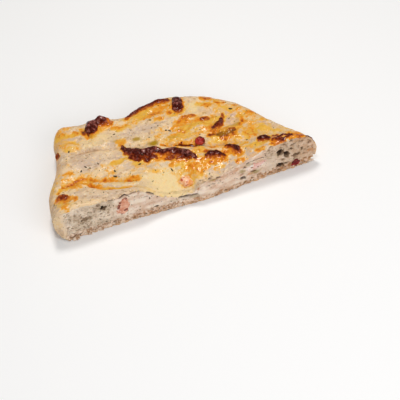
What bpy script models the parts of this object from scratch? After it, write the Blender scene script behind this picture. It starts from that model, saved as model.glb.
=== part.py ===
# Half of a filled fougasse, cut along its length: a flat leavened bread with a
# melted cheese filling, ham, blistered cheese on top and flecks of dried herb.
# Plan lengths are in millimetres while the shape is worked out: x runs along
# the cut from its left end, y goes back from the cut face, z is up from the
# table. Everything is turned to metres when a mesh is made, and the finished
# pieces are shifted so that the origin is under the middle of the bread.

import math

import bmesh
import bpy
import numpy as np
from mathutils import Matrix, Vector, noise
from mathutils.bvhtree import BVHTree

MM = 0.001

# Main sizes
LOAF_THICKNESS = 25.0
EDGE_RADIUS = 10.5
BOTTOM_DOUGH = 5.8
CRUST = 3.8
GAP = 0.3
DROOP = 27.0  # how far in from the cut the top still leans towards its edge
LOAF_VOXEL = 1.6
FILLING_VOXEL = 2.6
LOAF_TRIANGLES = 7400
FILLING_TRIANGLES = 1100
PAST_THE_CUT = -24.0

# Widest outline of the half, from past the cut's left end round the back to
# past its right end
OUTLINE = (
    (0.4, PAST_THE_CUT), (-1.2, 8.0), (0.8, 29.0), (10.2, 50.0), (16.2, 69.0),
    (19.0, 91.0), (26.0, 101.5), (43.0, 99.5), (59.0, 98.0), (70.0, 94.5),
    (78.5, 91.0), (87.0, 94.5), (98.0, 97.5), (112.0, 99.5), (128.0, 95.5),
    (150.0, 83.0), (167.0, 65.0), (182.5, 36.0), (196.0, 13.0), (204.0, -3.0),
    (206.0, PAST_THE_CUT),
)

# Where the filling reaches inside the bread
FILLING_OUTLINE = (
    (46.0, PAST_THE_CUT), (43.0, 12.0), (36.0, 45.0), (42.0, 72.0), (64.0, 79.0),
    (108.0, 80.0), (134.0, 70.0), (154.0, 44.0), (166.0, 12.0), (168.0, PAST_THE_CUT),
)

# The filling's thickness deep inside and at its thinnest, how much it drops
# towards its ends and where along the cut, how far in it falls to its depth
# inside, the wave of its underside, and how far it rises past the opening
FILLING = {
    "deep": 8.5, "thinnest": 3.0, "end_drop": 5.0, "left_end": (40.0, 62.0),
    "right_end": (148.0, 168.0), "fall": (8.0, 30.0), "wave": 0.5, "wave_length": 7.0,
    "past_the_top": 14.0, "opening_edge": (0.94, 1.06), "edge_radius": 2.0,
}

# Height of the upper edge along the cut: x, z
CUT_EDGE = (
    (-4.0, 29.5), (8.0, 31.0), (16.0, 31.2), (28.0, 29.2), (42.0, 27.4),
    (60.0, 28.2), (66.0, 26.5), (74.0, 20.5), (82.0, 14.8), (90.0, 12.2),
    (98.0, 11.0), (104.0, 12.6), (109.0, 17.6), (117.0, 19.3), (125.0, 20.0),
    (137.0, 22.4), (150.0, 25.8), (162.0, 29.0), (176.0, 29.8), (187.0, 29.8),
    (196.0, 28.0), (206.0, 24.0),
)

# The loaf is a little thicker behind its middle: place, half sizes and rise
THICK_MIDDLE = {"x": 105.0, "y": 74.0, "half_length": 34.0, "half_width": 24.0, "rise": 1.5}

# Gentle unevenness of the top: height, wavelength and seed of each scale
UNEVENNESS = ((0.9, 17.0, 3.1), (0.4, 6.5, 8.7))

# The relief fades out down the rounded edge, between these shares of the height
RELIEF_FADE = (0.45, 0.9)

# The knife wandered: how far the cut bows forward, and where
CUT_BOW = {"back": 0.9, "forward": 3.6, "x": 112.0, "half_length": 36.0, "fade": 34.0}

# The left end of the cut is a soft corner: how far back it goes, from where to where
CUT_CORNER = {"back": 4.0, "span": (-2.8, 8.0)}

# The opening in the crust where the cheese shows on top and runs over the cut
OPENING = {"x": 88.0, "y": -1.0, "half_length": 18.0, "half_width": 18.5}

# Valleys between the folds of the dough: their line, width and depth
CREASES = (
    {"line": ((16, 32), (31, 30.5), (46, 25), (62, 15.5)), "width": 5.5, "depth": 2.3},
    {"line": ((33, 24), (41, 17), (52, 11), (64, 8)), "width": 4.5, "depth": 1.7},
    {"line": ((34, 62.5), (50, 59.5), (64, 54.5), (80, 46.5)), "width": 5.0, "depth": 2.2},
    {"line": ((98, 42.5), (109.5, 35.5), (116.5, 31.5), (132, 25.5), (150, 20)), "width": 5.0, "depth": 1.9},
    {"line": ((24, 86), (32, 76), (44, 74)), "width": 7.0, "depth": 1.1},
)

# Burnt ridges of blistered cheese: their crest, width and height
RIDGES = (
    {"line": ((65.5, 50.8), (70, 45.6), (76, 40.6), (84, 38.2)), "width": 7.4, "height": 3.7},
    {"line": ((87, 38.4), (94, 33.4), (103, 30.4), (109, 26.6), (115, 21)), "width": 6.8, "height": 3.2},
    {"line": ((79.5, 84.6), (86, 88.4), (94, 90.8), (104, 91.8), (113, 90.6)), "width": 5.0, "height": 1.2},
    {"line": ((148, 56), (143.5, 47), (137.5, 42.6)), "width": 3.6, "height": 1.8},
    {"line": ((133, 35.5), (149, 35.8), (159.5, 40.2)), "width": 6.0, "height": 1.7},
    {"line": ((114, 57.5), (118, 61.5), (129, 61)), "width": 4.0, "height": 1.4},
    {"line": ((171.5, 6.4), (177.5, 5.4), (185.5, 4.8)), "width": 5.0, "height": 1.9},
)

# Round blisters: place, half sizes, height and the turn of the long axis
BLISTERS = (
    {"x": 51.6, "y": 84.2, "long": 7.2, "short": 6.0, "height": 6.8, "turn": 60},
    {"x": 60.0, "y": 85.6, "long": 7.4, "short": 5.8, "height": 5.8, "turn": 0},
    {"x": 119.6, "y": 81.0, "long": 8.6, "short": 5.4, "height": 3.5, "turn": 108},
    {"x": 127.4, "y": 15.3, "long": 7.6, "short": 4.4, "height": 2.7, "turn": -6},
    {"x": 143.6, "y": 13.8, "long": 6.6, "short": 4.2, "height": 2.4, "turn": -28},
    {"x": 165.2, "y": 11.2, "long": 5.2, "short": 4.6, "height": 2.6, "turn": 0},
    {"x": 10.6, "y": 16.8, "long": 5.4, "short": 5.0, "height": 2.2, "turn": 0},
    {"x": 31.0, "y": 71.6, "long": 7.5, "short": 5.5, "height": 1.6, "turn": -20},
    {"x": 26.6, "y": 88.4, "long": 4.0, "short": 3.4, "height": 1.0, "turn": 0},
    {"x": 134.3, "y": 56.2, "long": 3.4, "short": 3.0, "height": 1.4, "turn": 0},
    {"x": 151.0, "y": 71.0, "long": 7.0, "short": 4.0, "height": 1.2, "turn": -40},
    {"x": 66.6, "y": 58.7, "long": 5.0, "short": 4.4, "height": 1.0, "turn": 0},
    {"x": 117.5, "y": 52.8, "long": 9.0, "short": 6.5, "height": 1.2, "turn": 15},
)

# Bubbles in the crumb that the cut opened: place on the face, half sizes, depth
BUBBLES = (
    {"x": 21.6, "z": 14.7, "wide": 3.6, "high": 2.5, "deep": 2.0},
    {"x": 35.7, "z": 21.0, "wide": 2.7, "high": 2.3, "deep": 2.8},
    {"x": 173.6, "z": 20.4, "wide": 3.0, "high": 2.8, "deep": 3.4},
    {"x": 179.4, "z": 15.8, "wide": 2.5, "high": 2.9, "deep": 3.4},
    {"x": 186.6, "z": 12.4, "wide": 3.5, "high": 2.9, "deep": 2.4},
    {"x": 172.4, "z": 6.9, "wide": 2.6, "high": 2.2, "deep": 3.0},
    {"x": 179.5, "z": 8.4, "wide": 2.6, "high": 1.2, "deep": 2.0},
)

# Their centres lie a little behind the cut face
BUBBLE_Y = 0.2

# Pieces of ham and bacon: centre, half sizes, and the turn about y and about z
MEATS = {
    "bacon_top": {"centre": (122.3, 33.0, 25.6), "half": (3.6, 3.2, 3.0), "turn": (0, 0)},
    "ham_top": {"centre": (102.4, 7.8, 14.2), "half": (6.8, 6.2, 3.7), "turn": (14, 0)},
    "ham_chunk": {"centre": (50.2, 1.0, 15.8), "half": (4.8, 6.5, 7.2), "turn": (20, 0)},
    "ham_slice": {"centre": (154.0, 3.0, 15.0), "half": (8.6, 9.0, 2.7), "turn": (-10, 0)},
    "bacon_base": {"centre": (185.4, 1.6, 4.3), "half": (3.4, 4.0, 3.0), "turn": (-25, 0)},
}

MEAT_LUMPS = 0.35

# The largest flakes of dried herb, one to each square of a grid over the top:
# half sizes, grid, largest shift in its square as a share of the grid, how far
# they keep from the outline, the meat and the opening, how level the dough
# under them is, and how far they stand out of it
FLAKES = {
    "half": (1.5, 0.6, 0.42), "spacing": 21.0, "shift": 0.38, "seed": 14, "margin": 9.0,
    "from_meat": 9.0, "from_opening": 1.25, "least_level": 0.8, "lift": 0.12,
}

# Colours and roughness of the stand-in materials
LOOKS = {
    "baked dough": ((0.72, 0.55, 0.36), 0.55),
    "melted cheese": ((0.84, 0.72, 0.50), 0.40),
    "bacon": ((0.42, 0.05, 0.04), 0.35),
    "ham": ((0.78, 0.38, 0.28), 0.35),
}


def clear_scene():
    for obj in list(bpy.data.objects):
        bpy.data.objects.remove(obj, do_unlink=True)


def collection(name, hidden=False):
    made = bpy.data.collections.new(name)
    bpy.context.scene.collection.children.link(made)
    made.hide_render = hidden
    return made


def food_material(name, look):
    colour, roughness = LOOKS[look]
    made = bpy.data.materials.new(name)
    made.use_nodes = True
    made.diffuse_color = (*colour, 1.0)
    shader = made.node_tree.nodes["Principled BSDF"]
    shader.inputs["Base Color"].default_value = (*colour, 1.0)
    shader.inputs["Roughness"].default_value = roughness
    shader.inputs["Metallic"].default_value = 0.0
    return made


def ease(value, low, high):
    t = np.clip((value - low) / (high - low), 0.0, 1.0)
    return t * t * (3.0 - 2.0 * t)


def line_distance(x, y, points):
    best = np.full(np.shape(x), 1e9)
    for (ax, ay), (bx, by) in zip(points[:-1], points[1:]):
        dx, dy = bx - ax, by - ay
        t = np.clip(((x - ax) * dx + (y - ay) * dy) / (dx * dx + dy * dy), 0.0, 1.0)
        best = np.minimum(best, np.hypot(x - ax - t * dx, y - ay - t * dy))
    return best


def waviness(x, y, wavelength, seed):
    return np.array([
        noise.noise(Vector((a / wavelength, b / wavelength, seed))) for a, b in zip(x, y)
    ])


def opening_reach(x, y):
    along = (x - OPENING["x"]) / OPENING["half_length"]
    across = (y - OPENING["y"]) / OPENING["half_width"]
    return np.hypot(along, across)


def loaf_height(x, y):
    edge_x, edge_z = zip(*CUT_EDGE)
    edge = np.interp(x, edge_x, edge_z)
    along = (x - THICK_MIDDLE["x"]) / THICK_MIDDLE["half_length"]
    back = (y - THICK_MIDDLE["y"]) / THICK_MIDDLE["half_width"]
    inside = LOAF_THICKNESS + THICK_MIDDLE["rise"] * np.exp(-(along**2 + back**2))
    across = np.clip(y / DROOP, 0.0, 1.0)
    return edge + (inside - edge) * (ease(across, 0.0, 1.0) + across * (2.0 - across)) / 2.0


def top_relief(x, y):
    height = sum(size * waviness(x, y, length, seed) for size, length, seed in UNEVENNESS)
    for crease in CREASES:
        away = line_distance(x, y, crease["line"]) / crease["width"]
        height -= crease["depth"] * np.exp(-2.2 * away**2)
    for ridge in RIDGES:
        away = 2.0 * line_distance(x, y, ridge["line"]) / ridge["width"]
        height += ridge["height"] * np.sqrt(np.clip(1.0 - 0.75 * away**2, 0.0, 1.0)) ** 1.3
    for blister in BLISTERS:
        turn = math.radians(blister["turn"])
        dx, dy = x - blister["x"], y - blister["y"]
        along = (dx * math.cos(turn) + dy * math.sin(turn)) / blister["long"]
        across = (dy * math.cos(turn) - dx * math.sin(turn)) / blister["short"]
        height += blister["height"] * np.clip(1.0 - along**2 - across**2, 0.0, 1.0) ** 0.7
    return height


def object_from_mesh(name, mesh, home):
    obj = bpy.data.objects.new(name, mesh)
    home.objects.link(obj)
    return obj


def evaluated_mesh(obj):
    graph = bpy.context.evaluated_depsgraph_get()
    return bpy.data.meshes.new_from_object(obj.evaluated_get(graph))


def bake(obj):
    mesh = evaluated_mesh(obj)
    old = obj.data
    obj.modifiers.clear()
    obj.data = mesh
    bpy.data.meshes.remove(old)


def rounded_slab(name, outline, thickness, radius, home):
    curve = bpy.data.curves.new(name, "CURVE")
    curve.dimensions = "2D"
    curve.fill_mode = "BOTH"
    curve.resolution_u = 8
    curve.extrude = (thickness / 2 - radius) * MM
    curve.bevel_depth = radius * MM
    curve.bevel_resolution = 4
    curve.offset = -radius * MM
    spline = curve.splines.new("BEZIER")
    spline.use_cyclic_u = True
    spline.bezier_points.add(len(outline) - 1)
    for point, (x, y) in zip(spline.bezier_points, outline):
        point.co = (x * MM, y * MM, 0.0)
        point.handle_left_type = point.handle_right_type = "AUTO"
    guide = bpy.data.objects.new(name + "_guide", curve)
    home.objects.link(guide)
    guide.location.z = thickness / 2 * MM
    bpy.context.view_layer.update()
    mesh = evaluated_mesh(guide)
    mesh.transform(guide.matrix_world)
    bpy.data.objects.remove(guide, do_unlink=True)
    work = bmesh.new()
    work.from_mesh(mesh)
    bmesh.ops.remove_doubles(work, verts=work.verts, dist=1e-6)
    bmesh.ops.recalc_face_normals(work, faces=work.faces)
    work.to_mesh(mesh)
    work.free()
    return object_from_mesh(name, mesh, home)


def remesh(obj, voxel):
    step = obj.modifiers.new("even mesh", "REMESH")
    step.mode = "VOXEL"
    step.voxel_size = voxel * MM
    bake(obj)


def thin_out(obj, triangles):
    count = sum(len(face.vertices) - 2 for face in obj.data.polygons)
    step = obj.modifiers.new("fewer faces", "DECIMATE")
    step.ratio = min(1.0, triangles / count)
    step.use_collapse_triangulate = True
    bake(obj)


def reshape(obj, rule):
    count = len(obj.data.vertices)
    points = np.empty(count * 3, np.float32)
    obj.data.vertices.foreach_get("co", points)
    points = points.reshape(-1, 3).astype(float) / MM
    points = np.column_stack(rule(*points.T)) * MM
    obj.data.vertices.foreach_set("co", points.astype(np.float32).ravel())
    obj.data.update()


def loaf_rule(x, y, z):
    share = z / LOAF_THICKNESS
    upper = ease(share, *RELIEF_FADE)
    raised = z * loaf_height(x, y) / LOAF_THICKNESS + top_relief(x, y) * upper
    return x, y, np.where(share < 0.02, 0.0, raised)


def filling_rule(x, y, z):
    edge_x, edge_z = zip(*CUT_EDGE)
    edge = np.interp(x, edge_x, edge_z)
    low = BOTTOM_DOUGH + FILLING["wave"] * np.sin(x / FILLING["wave_length"])
    ends = ease(x, *FILLING["left_end"]) * (1.0 - ease(x, *FILLING["right_end"]))
    under_crust = np.minimum(edge, LOAF_THICKNESS) - CRUST - FILLING["end_drop"] * (1.0 - ends)
    deep = low + FILLING["deep"]
    top = under_crust + (deep - under_crust) * ease(y, *FILLING["fall"])
    top = np.maximum(top, low + FILLING["thinnest"])
    inside_opening = 1.0 - ease(opening_reach(x, y), *FILLING["opening_edge"])
    top += (LOAF_THICKNESS + FILLING["past_the_top"] - top) * inside_opening
    return x, y, low + (top - low) * z / LOAF_THICKNESS


def trim_at_cut(obj):
    work = bmesh.new()
    work.from_mesh(obj.data)
    everything = work.verts[:] + work.edges[:] + work.faces[:]
    bmesh.ops.bisect_plane(
        work, geom=everything, dist=1e-7, plane_co=(0, 0, 0), plane_no=(0, -1, 0), clear_outer=True
    )
    rim = [edge for edge in work.edges if edge.is_boundary]
    bmesh.ops.holes_fill(work, edges=rim)
    bmesh.ops.triangulate(work, faces=work.faces)
    bmesh.ops.recalc_face_normals(work, faces=work.faces)
    work.to_mesh(obj.data)
    work.free()


def boolean(obj, operation, other, solver="EXACT"):
    step = obj.modifiers.new(operation.lower(), "BOOLEAN")
    step.operation = operation
    step.solver = solver
    if isinstance(other, bpy.types.Collection):
        step.operand_type = "COLLECTION"
        step.collection = other
    else:
        step.object = other
    bake(obj)


def grown_copy(obj, amount, home):
    copy = object_from_mesh(obj.name + "_pocket", obj.data.copy(), home)
    step = copy.modifiers.new("clearance", "DISPLACE")
    step.mid_level = 0.0
    step.strength = amount * MM
    bake(copy)
    return copy


def ellipsoid(name, centre, half, home, detail=2, turn=(0, 0), lumps=0.0):
    work = bmesh.new()
    bmesh.ops.create_icosphere(work, subdivisions=detail, radius=1.0)
    for vert in work.verts:
        swell = 1.0 + lumps * noise.noise(vert.co * 1.7 + Vector(centre))
        vert.co = Vector(a * b * swell for a, b in zip(vert.co, half))
    spin = Matrix.Rotation(math.radians(turn[1]), 4, "Z")
    spin = spin @ Matrix.Rotation(math.radians(turn[0]), 4, "Y")
    place = Matrix.Scale(MM, 4) @ Matrix.Translation(centre) @ spin
    bmesh.ops.transform(work, matrix=place, verts=work.verts)
    mesh = bpy.data.meshes.new(name)
    work.to_mesh(mesh)
    work.free()
    return object_from_mesh(name, mesh, home)


def surface_of(obj):
    work = bmesh.new()
    work.from_mesh(obj.data)
    tree = BVHTree.FromBMesh(work)
    work.free()
    return tree


def flake_places():
    random = np.random.default_rng(FLAKES["seed"])
    spacing = FLAKES["spacing"]
    most_x, most_y = np.max(OUTLINE, axis=0)
    for row in range(int(most_y / spacing) + 1):
        for column in range(int(most_x / spacing) + 1):
            shift_x, shift_y = random.uniform(-FLAKES["shift"], FLAKES["shift"], 2)
            x = (column + 0.5 + shift_x) * spacing
            y = (row + 0.5 + shift_y) * spacing
            yield x, y, random.uniform(0, 180)


def add_flakes(bread):
    surface = surface_of(bread)
    flakes = collection("herb flakes", hidden=True)
    for x, y, turn in flake_places():
        to_edge = min(line_distance(np.array([x]), np.array([y]), OUTLINE)[0], y)
        to_meat = min(math.dist((x, y), meat["centre"][:2]) for meat in MEATS.values())
        if to_edge < FLAKES["margin"] or to_meat < FLAKES["from_meat"]:
            continue
        above = Vector((x, y, 2 * LOAF_THICKNESS)) * MM
        hit, normal, _, _ = surface.ray_cast(above, Vector((0, 0, -1)))
        if hit is None or normal.z < FLAKES["least_level"]:
            continue
        if opening_reach(x, y) < FLAKES["from_opening"]:
            continue
        flake = ellipsoid("flake", (0, 0, 0), FLAKES["half"], flakes, detail=1)
        lie = normal.to_track_quat("Z", "Y").to_matrix().to_4x4()
        lie = lie @ Matrix.Rotation(math.radians(turn), 4, "Z")
        flake.data.transform(Matrix.Translation(hit + normal * FLAKES["lift"] * MM) @ lie)
    boolean(bread, "UNION", flakes, "MANIFOLD")
    for flake in list(flakes.objects):
        bpy.data.objects.remove(flake, do_unlink=True)
    bpy.data.collections.remove(flakes)


def largest_piece(obj):
    work = bmesh.new()
    work.from_mesh(obj.data)
    left = set(work.verts)
    pieces = []
    while left:
        stack = [left.pop()]
        piece = set(stack)
        while stack:
            for edge in stack.pop().link_edges:
                for vert in edge.verts:
                    if vert in left:
                        left.remove(vert)
                        piece.add(vert)
                        stack.append(vert)
        pieces.append(piece)
    pieces.sort(key=len)
    scraps = [vert for piece in pieces[:-1] for vert in piece]
    bmesh.ops.delete(work, geom=scraps, context="VERTS")
    work.to_mesh(obj.data)
    work.free()


def finish(obj, material, angle=40):
    obj.data.materials.clear()
    obj.data.materials.append(material)
    obj.data.shade_smooth()
    obj.data.set_sharp_from_angle(angle=math.radians(angle))


def cut_bow_rule(x, y, z):
    swell = np.exp(-(((x - CUT_BOW["x"]) / CUT_BOW["half_length"]) ** 2))
    bow = CUT_BOW["back"] - CUT_BOW["forward"] * swell
    corner = CUT_CORNER["back"] * (1.0 - ease(x, *CUT_CORNER["span"])) ** 2
    return x, y + (bow + corner) * (1.0 - ease(y, 0.0, CUT_BOW["fade"])), z


def centre_on_origin(objects):
    corners = np.array([vert.co for obj in objects for vert in obj.data.vertices])
    low, high = corners.min(axis=0), corners.max(axis=0)
    shift = Vector((-(low[0] + high[0]) / 2, -(low[1] + high[1]) / 2, -low[2]))
    for obj in objects:
        obj.data.transform(Matrix.Translation(shift))


def main():
    clear_scene()
    home = collection("fougasse half")
    helpers = collection("cutters", hidden=True)

    bread = rounded_slab("bread", OUTLINE, LOAF_THICKNESS, EDGE_RADIUS, home)
    remesh(bread, LOAF_VOXEL)
    reshape(bread, loaf_rule)
    thin_out(bread, LOAF_TRIANGLES)
    trim_at_cut(bread)

    radius = FILLING["edge_radius"]
    pocket = rounded_slab("filling_pocket", FILLING_OUTLINE, LOAF_THICKNESS, radius, helpers)
    remesh(pocket, FILLING_VOXEL)
    reshape(pocket, filling_rule)
    thin_out(pocket, FILLING_TRIANGLES)
    filling = grown_copy(pocket, -GAP, home)
    filling.name = "filling"
    boolean(filling, "INTERSECT", bread)
    boolean(bread, "DIFFERENCE", pocket)

    meats = {}
    for name, meat in MEATS.items():
        piece = ellipsoid(name, meat["centre"], meat["half"], home, 3, meat["turn"], MEAT_LUMPS)
        grown_copy(piece, GAP, helpers)
        trim_at_cut(piece)
        meats[name] = piece
    bpy.data.objects.remove(pocket, do_unlink=True)
    for bubble in BUBBLES:
        centre = (bubble["x"], BUBBLE_Y, bubble["z"])
        ellipsoid("bubble", centre, (bubble["wide"], bubble["deep"], bubble["high"]), helpers)
    boolean(bread, "DIFFERENCE", helpers)
    boolean(filling, "DIFFERENCE", helpers)
    add_flakes(bread)
    for obj in (bread, filling):
        largest_piece(obj)

    finish(bread, food_material("baked dough", "baked dough"))
    finish(filling, food_material("melted cheese", "melted cheese"))
    for name, obj in meats.items():
        finish(obj, food_material(name.replace("_", " "), name.split("_")[0]))
    for helper in helpers.objects:
        helper.hide_render = True
        helper.display_type = "WIRE"
    pieces = [bread, filling, *meats.values()]
    for obj in pieces:
        reshape(obj, cut_bow_rule)
    centre_on_origin(pieces)


main()
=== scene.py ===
import math
import bmesh
import bpy
import numpy as np
from mathutils import Matrix, Vector, noise
from mathutils.bvhtree import BVHTree


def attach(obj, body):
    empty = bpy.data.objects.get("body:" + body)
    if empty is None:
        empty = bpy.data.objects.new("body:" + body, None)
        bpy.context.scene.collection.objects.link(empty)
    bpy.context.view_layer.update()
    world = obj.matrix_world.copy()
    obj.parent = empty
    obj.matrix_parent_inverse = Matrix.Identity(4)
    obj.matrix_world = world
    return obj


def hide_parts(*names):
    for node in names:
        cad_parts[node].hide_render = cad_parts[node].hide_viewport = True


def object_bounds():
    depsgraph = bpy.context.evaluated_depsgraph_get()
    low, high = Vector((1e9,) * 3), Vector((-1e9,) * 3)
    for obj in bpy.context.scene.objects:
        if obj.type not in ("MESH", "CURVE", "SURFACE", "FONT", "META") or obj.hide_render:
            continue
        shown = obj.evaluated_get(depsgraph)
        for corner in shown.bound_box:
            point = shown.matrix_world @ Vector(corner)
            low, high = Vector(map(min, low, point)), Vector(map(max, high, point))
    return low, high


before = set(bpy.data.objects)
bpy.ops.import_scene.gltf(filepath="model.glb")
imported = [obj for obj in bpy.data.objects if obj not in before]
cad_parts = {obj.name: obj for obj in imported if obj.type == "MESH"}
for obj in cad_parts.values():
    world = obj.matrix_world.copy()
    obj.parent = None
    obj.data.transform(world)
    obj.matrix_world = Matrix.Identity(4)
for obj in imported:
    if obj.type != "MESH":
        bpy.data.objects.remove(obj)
cadLow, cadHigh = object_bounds()
print("frame loaded:", ", ".join(sorted(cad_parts)))

# All shapes are worked out in millimetres on a plan of the half loaf: x runs along the
# cut from its left end, y goes back from the cut, z is up. At the end they are moved into
# the frame, whose left and front limits are these two places on the plan.
mm = 0.001
planLeft = -1.167
planFront = -2.7
planOrigin = Vector((cadLow.x - planLeft * mm, cadLow.y - planFront * mm, 0.0))

down = Vector((0.0, 0.0, -1.0))
inward = Vector((0.0, 1.0, 0.0))
overhead = 80             # rays down start above everything
inFront = -20             # and rays into the cut in front of it
latticeSize = 32            # the random fields repeat after so many features
latticeShift = 500        # keeps places on their lattice above zero


def ease(value, low, high):
    t = np.clip((value - low) / (high - low), 0, 1)
    return t * t * (3 - 2 * t)


def fade(value, low, high):
    return 1 - ease(value, low, high)


def ripple(points, size, seed):
    # smooth random field from -1 to 1, with features of that size in mm
    lattice = np.random.default_rng(seed).uniform(-1, 1, (latticeSize,) * 3)
    place = points / size + latticeShift
    cell = np.floor(place).astype(int)
    part = place - cell
    part = part * part * (3 - 2 * part)
    total = np.zeros(len(points))
    for corner in np.ndindex(2, 2, 2):
        share = np.prod(np.where(corner, part, 1 - part), axis=1)
        total += share * lattice[tuple(((cell + corner) % latticeSize).T)]
    return total


def ripples(points, waves):
    return sum(height * ripple(points, length, seed) for height, length, seed in waves)


def streaked(points):
    # drawn out along the loaf
    return points * np.array([0.38, 1, 1])


def onFace(x, z):
    return np.column_stack([x, np.zeros(len(x)), z])


def lineDistance(x, y, line):
    best = np.full(np.shape(x), 1e9)
    for (ax, ay), (bx, by) in zip(line[:-1], line[1:]):
        dx, dy = bx - ax, by - ay
        t = np.clip(((x - ax) * dx + (y - ay) * dy) / (dx * dx + dy * dy), 0, 1)
        best = np.minimum(best, np.hypot(x - ax - t * dx, y - ay - t * dy))
    return best


def chainReach(x, y, chain):
    # distance from a chain as a share of its half width there, that width, and how
    # much the point lies in front of it, from -1 behind to 1 in front
    reach, width, front = np.full(np.shape(x), 1e9), np.ones(np.shape(x)), np.zeros(np.shape(x))
    for a, b in zip(chain[:-1], chain[1:]):
        dx, dy = b[0] - a[0], b[1] - a[1]
        t = np.clip(((x - a[0]) * dx + (y - a[1]) * dy) / (dx * dx + dy * dy), 0, 1)
        half = a[2] + (b[2] - a[2]) * t
        away = np.hypot(x - a[0] - t * dx, y - a[1] - t * dy)
        ahead = np.clip((a[1] + t * dy - y) / np.maximum(away, 0.3), -1, 1)
        nearer = away / half < reach
        reach = np.where(nearer, away / half, reach)
        width = np.where(nearer, half, width)
        front = np.where(nearer, ahead, front)
    return reach, width, front


def onPatch(x, y, px, py, long, wide, turn=0):
    # how far along and across a turned oval, as shares of its half sizes
    angle = math.radians(turn)
    dx, dy = x - px, y - py
    along = (dx * math.cos(angle) + dy * math.sin(angle)) / long
    return along, (dy * math.cos(angle) - dx * math.sin(angle)) / wide


def patchesAt(x, y, patches, edge, low, high):
    # patches with ragged edges: x, y, half sizes, maybe turn, amount
    total = np.zeros(len(x))
    for *patch, amount in patches:
        reach = np.hypot(*onPatch(x, y, *patch)) + edge
        total = np.maximum(total, amount * fade(reach, low, high))
    return total


def newObject(name, data):
    made = bpy.data.objects.new(name, data)
    bpy.context.scene.collection.objects.link(made)
    return made


def objectFrom(name, work):
    mesh = bpy.data.meshes.new(name)
    work.to_mesh(mesh)
    work.free()
    return newObject(name, mesh)


def modified(obj, kind, **settings):
    step = obj.modifiers.new(kind.lower(), kind)
    for name, value in settings.items():
        setattr(step, name, value)
    old = obj.data
    mesh = bpy.data.meshes.new_from_object(obj.evaluated_get(bpy.context.evaluated_depsgraph_get()))
    obj.modifiers.clear()
    obj.data = mesh
    bpy.data.meshes.remove(old)
    return obj


def remove(obj):
    mesh = obj.data
    bpy.data.objects.remove(obj, do_unlink=True)
    bpy.data.meshes.remove(mesh)


def vectorsOf(items, name="co"):
    flat = np.empty(len(items) * 3, np.float32)
    items.foreach_get(name, flat)
    return flat.reshape(-1, 3).astype(float)


def movePoints(mesh, points):
    mesh.vertices.foreach_set("co", points.astype(np.float32).ravel())
    mesh.update()


def roundedSlab(name, outline, thickness, radius):
    curve = bpy.data.curves.new(name, "CURVE")
    curve.dimensions = "2D"
    curve.fill_mode = "BOTH"
    curve.resolution_u = 10
    curve.extrude = thickness / 2 - radius
    curve.bevel_depth = radius
    curve.bevel_resolution = 5
    curve.offset = -radius
    spline = curve.splines.new("BEZIER")
    spline.use_cyclic_u = True
    spline.bezier_points.add(len(outline) - 1)
    for point, (x, y) in zip(spline.bezier_points, outline):
        point.co = (x, y, 0)
        point.handle_left_type = point.handle_right_type = "AUTO"
    guide = newObject(name + "Guide", curve)
    bpy.context.view_layer.update()
    mesh = bpy.data.meshes.new_from_object(guide.evaluated_get(bpy.context.evaluated_depsgraph_get()))
    mesh.transform(Matrix.Translation((0, 0, thickness / 2)))
    bpy.data.objects.remove(guide, do_unlink=True)
    work = bmesh.new()
    work.from_mesh(mesh)
    bpy.data.meshes.remove(mesh)
    bmesh.ops.remove_doubles(work, verts=work.verts, dist=1e-3)
    bmesh.ops.recalc_face_normals(work, faces=work.faces)
    return objectFrom(name, work)


def remeshed(body, voxel, rounds=0):
    # an even mesh, smoothed some rounds, with its points and their normals
    modified(body, "REMESH", mode="VOXEL", voxel_size=voxel)
    if rounds:
        modified(body, "SMOOTH", iterations=rounds)
    return vectorsOf(body.data.vertices), vectorsOf(body.data.vertex_normals, "vector")


def addLump(work, centre, half, detail, lumps, seed, turn=0):
    # an icosphere squashed to its half sizes, with lumps by height and fineness
    made = bmesh.ops.create_icosphere(work, subdivisions=detail, radius=1)["verts"]
    for vert in made:
        swell = 1
        for height, fineness in lumps:
            swell += height * noise.noise(vert.co * fineness + Vector(seed))
        vert.co = Vector(a * b * swell for a, b in zip(vert.co, half))
    place = Matrix.Translation(centre) @ Matrix.Rotation(math.radians(turn), 4, "Y")
    bmesh.ops.transform(work, matrix=place, verts=made)


def lump(name, centre, half, detail, coarse, fine, turn=0):
    work = bmesh.new()
    addLump(work, centre, half, detail, ((coarse, 1.7), (fine, 5.2)), centre, turn)
    return objectFrom(name, work)


def treeOf(obj):
    work = bmesh.new()
    work.from_mesh(obj.data)
    tree = BVHTree.FromBMesh(work)
    work.free()
    return tree


def keep(mesh, name, values):
    layer = mesh.attributes.new(name, "FLOAT", "POINT")
    layer.data.foreach_set("value", np.asarray(values, np.float32))


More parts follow.
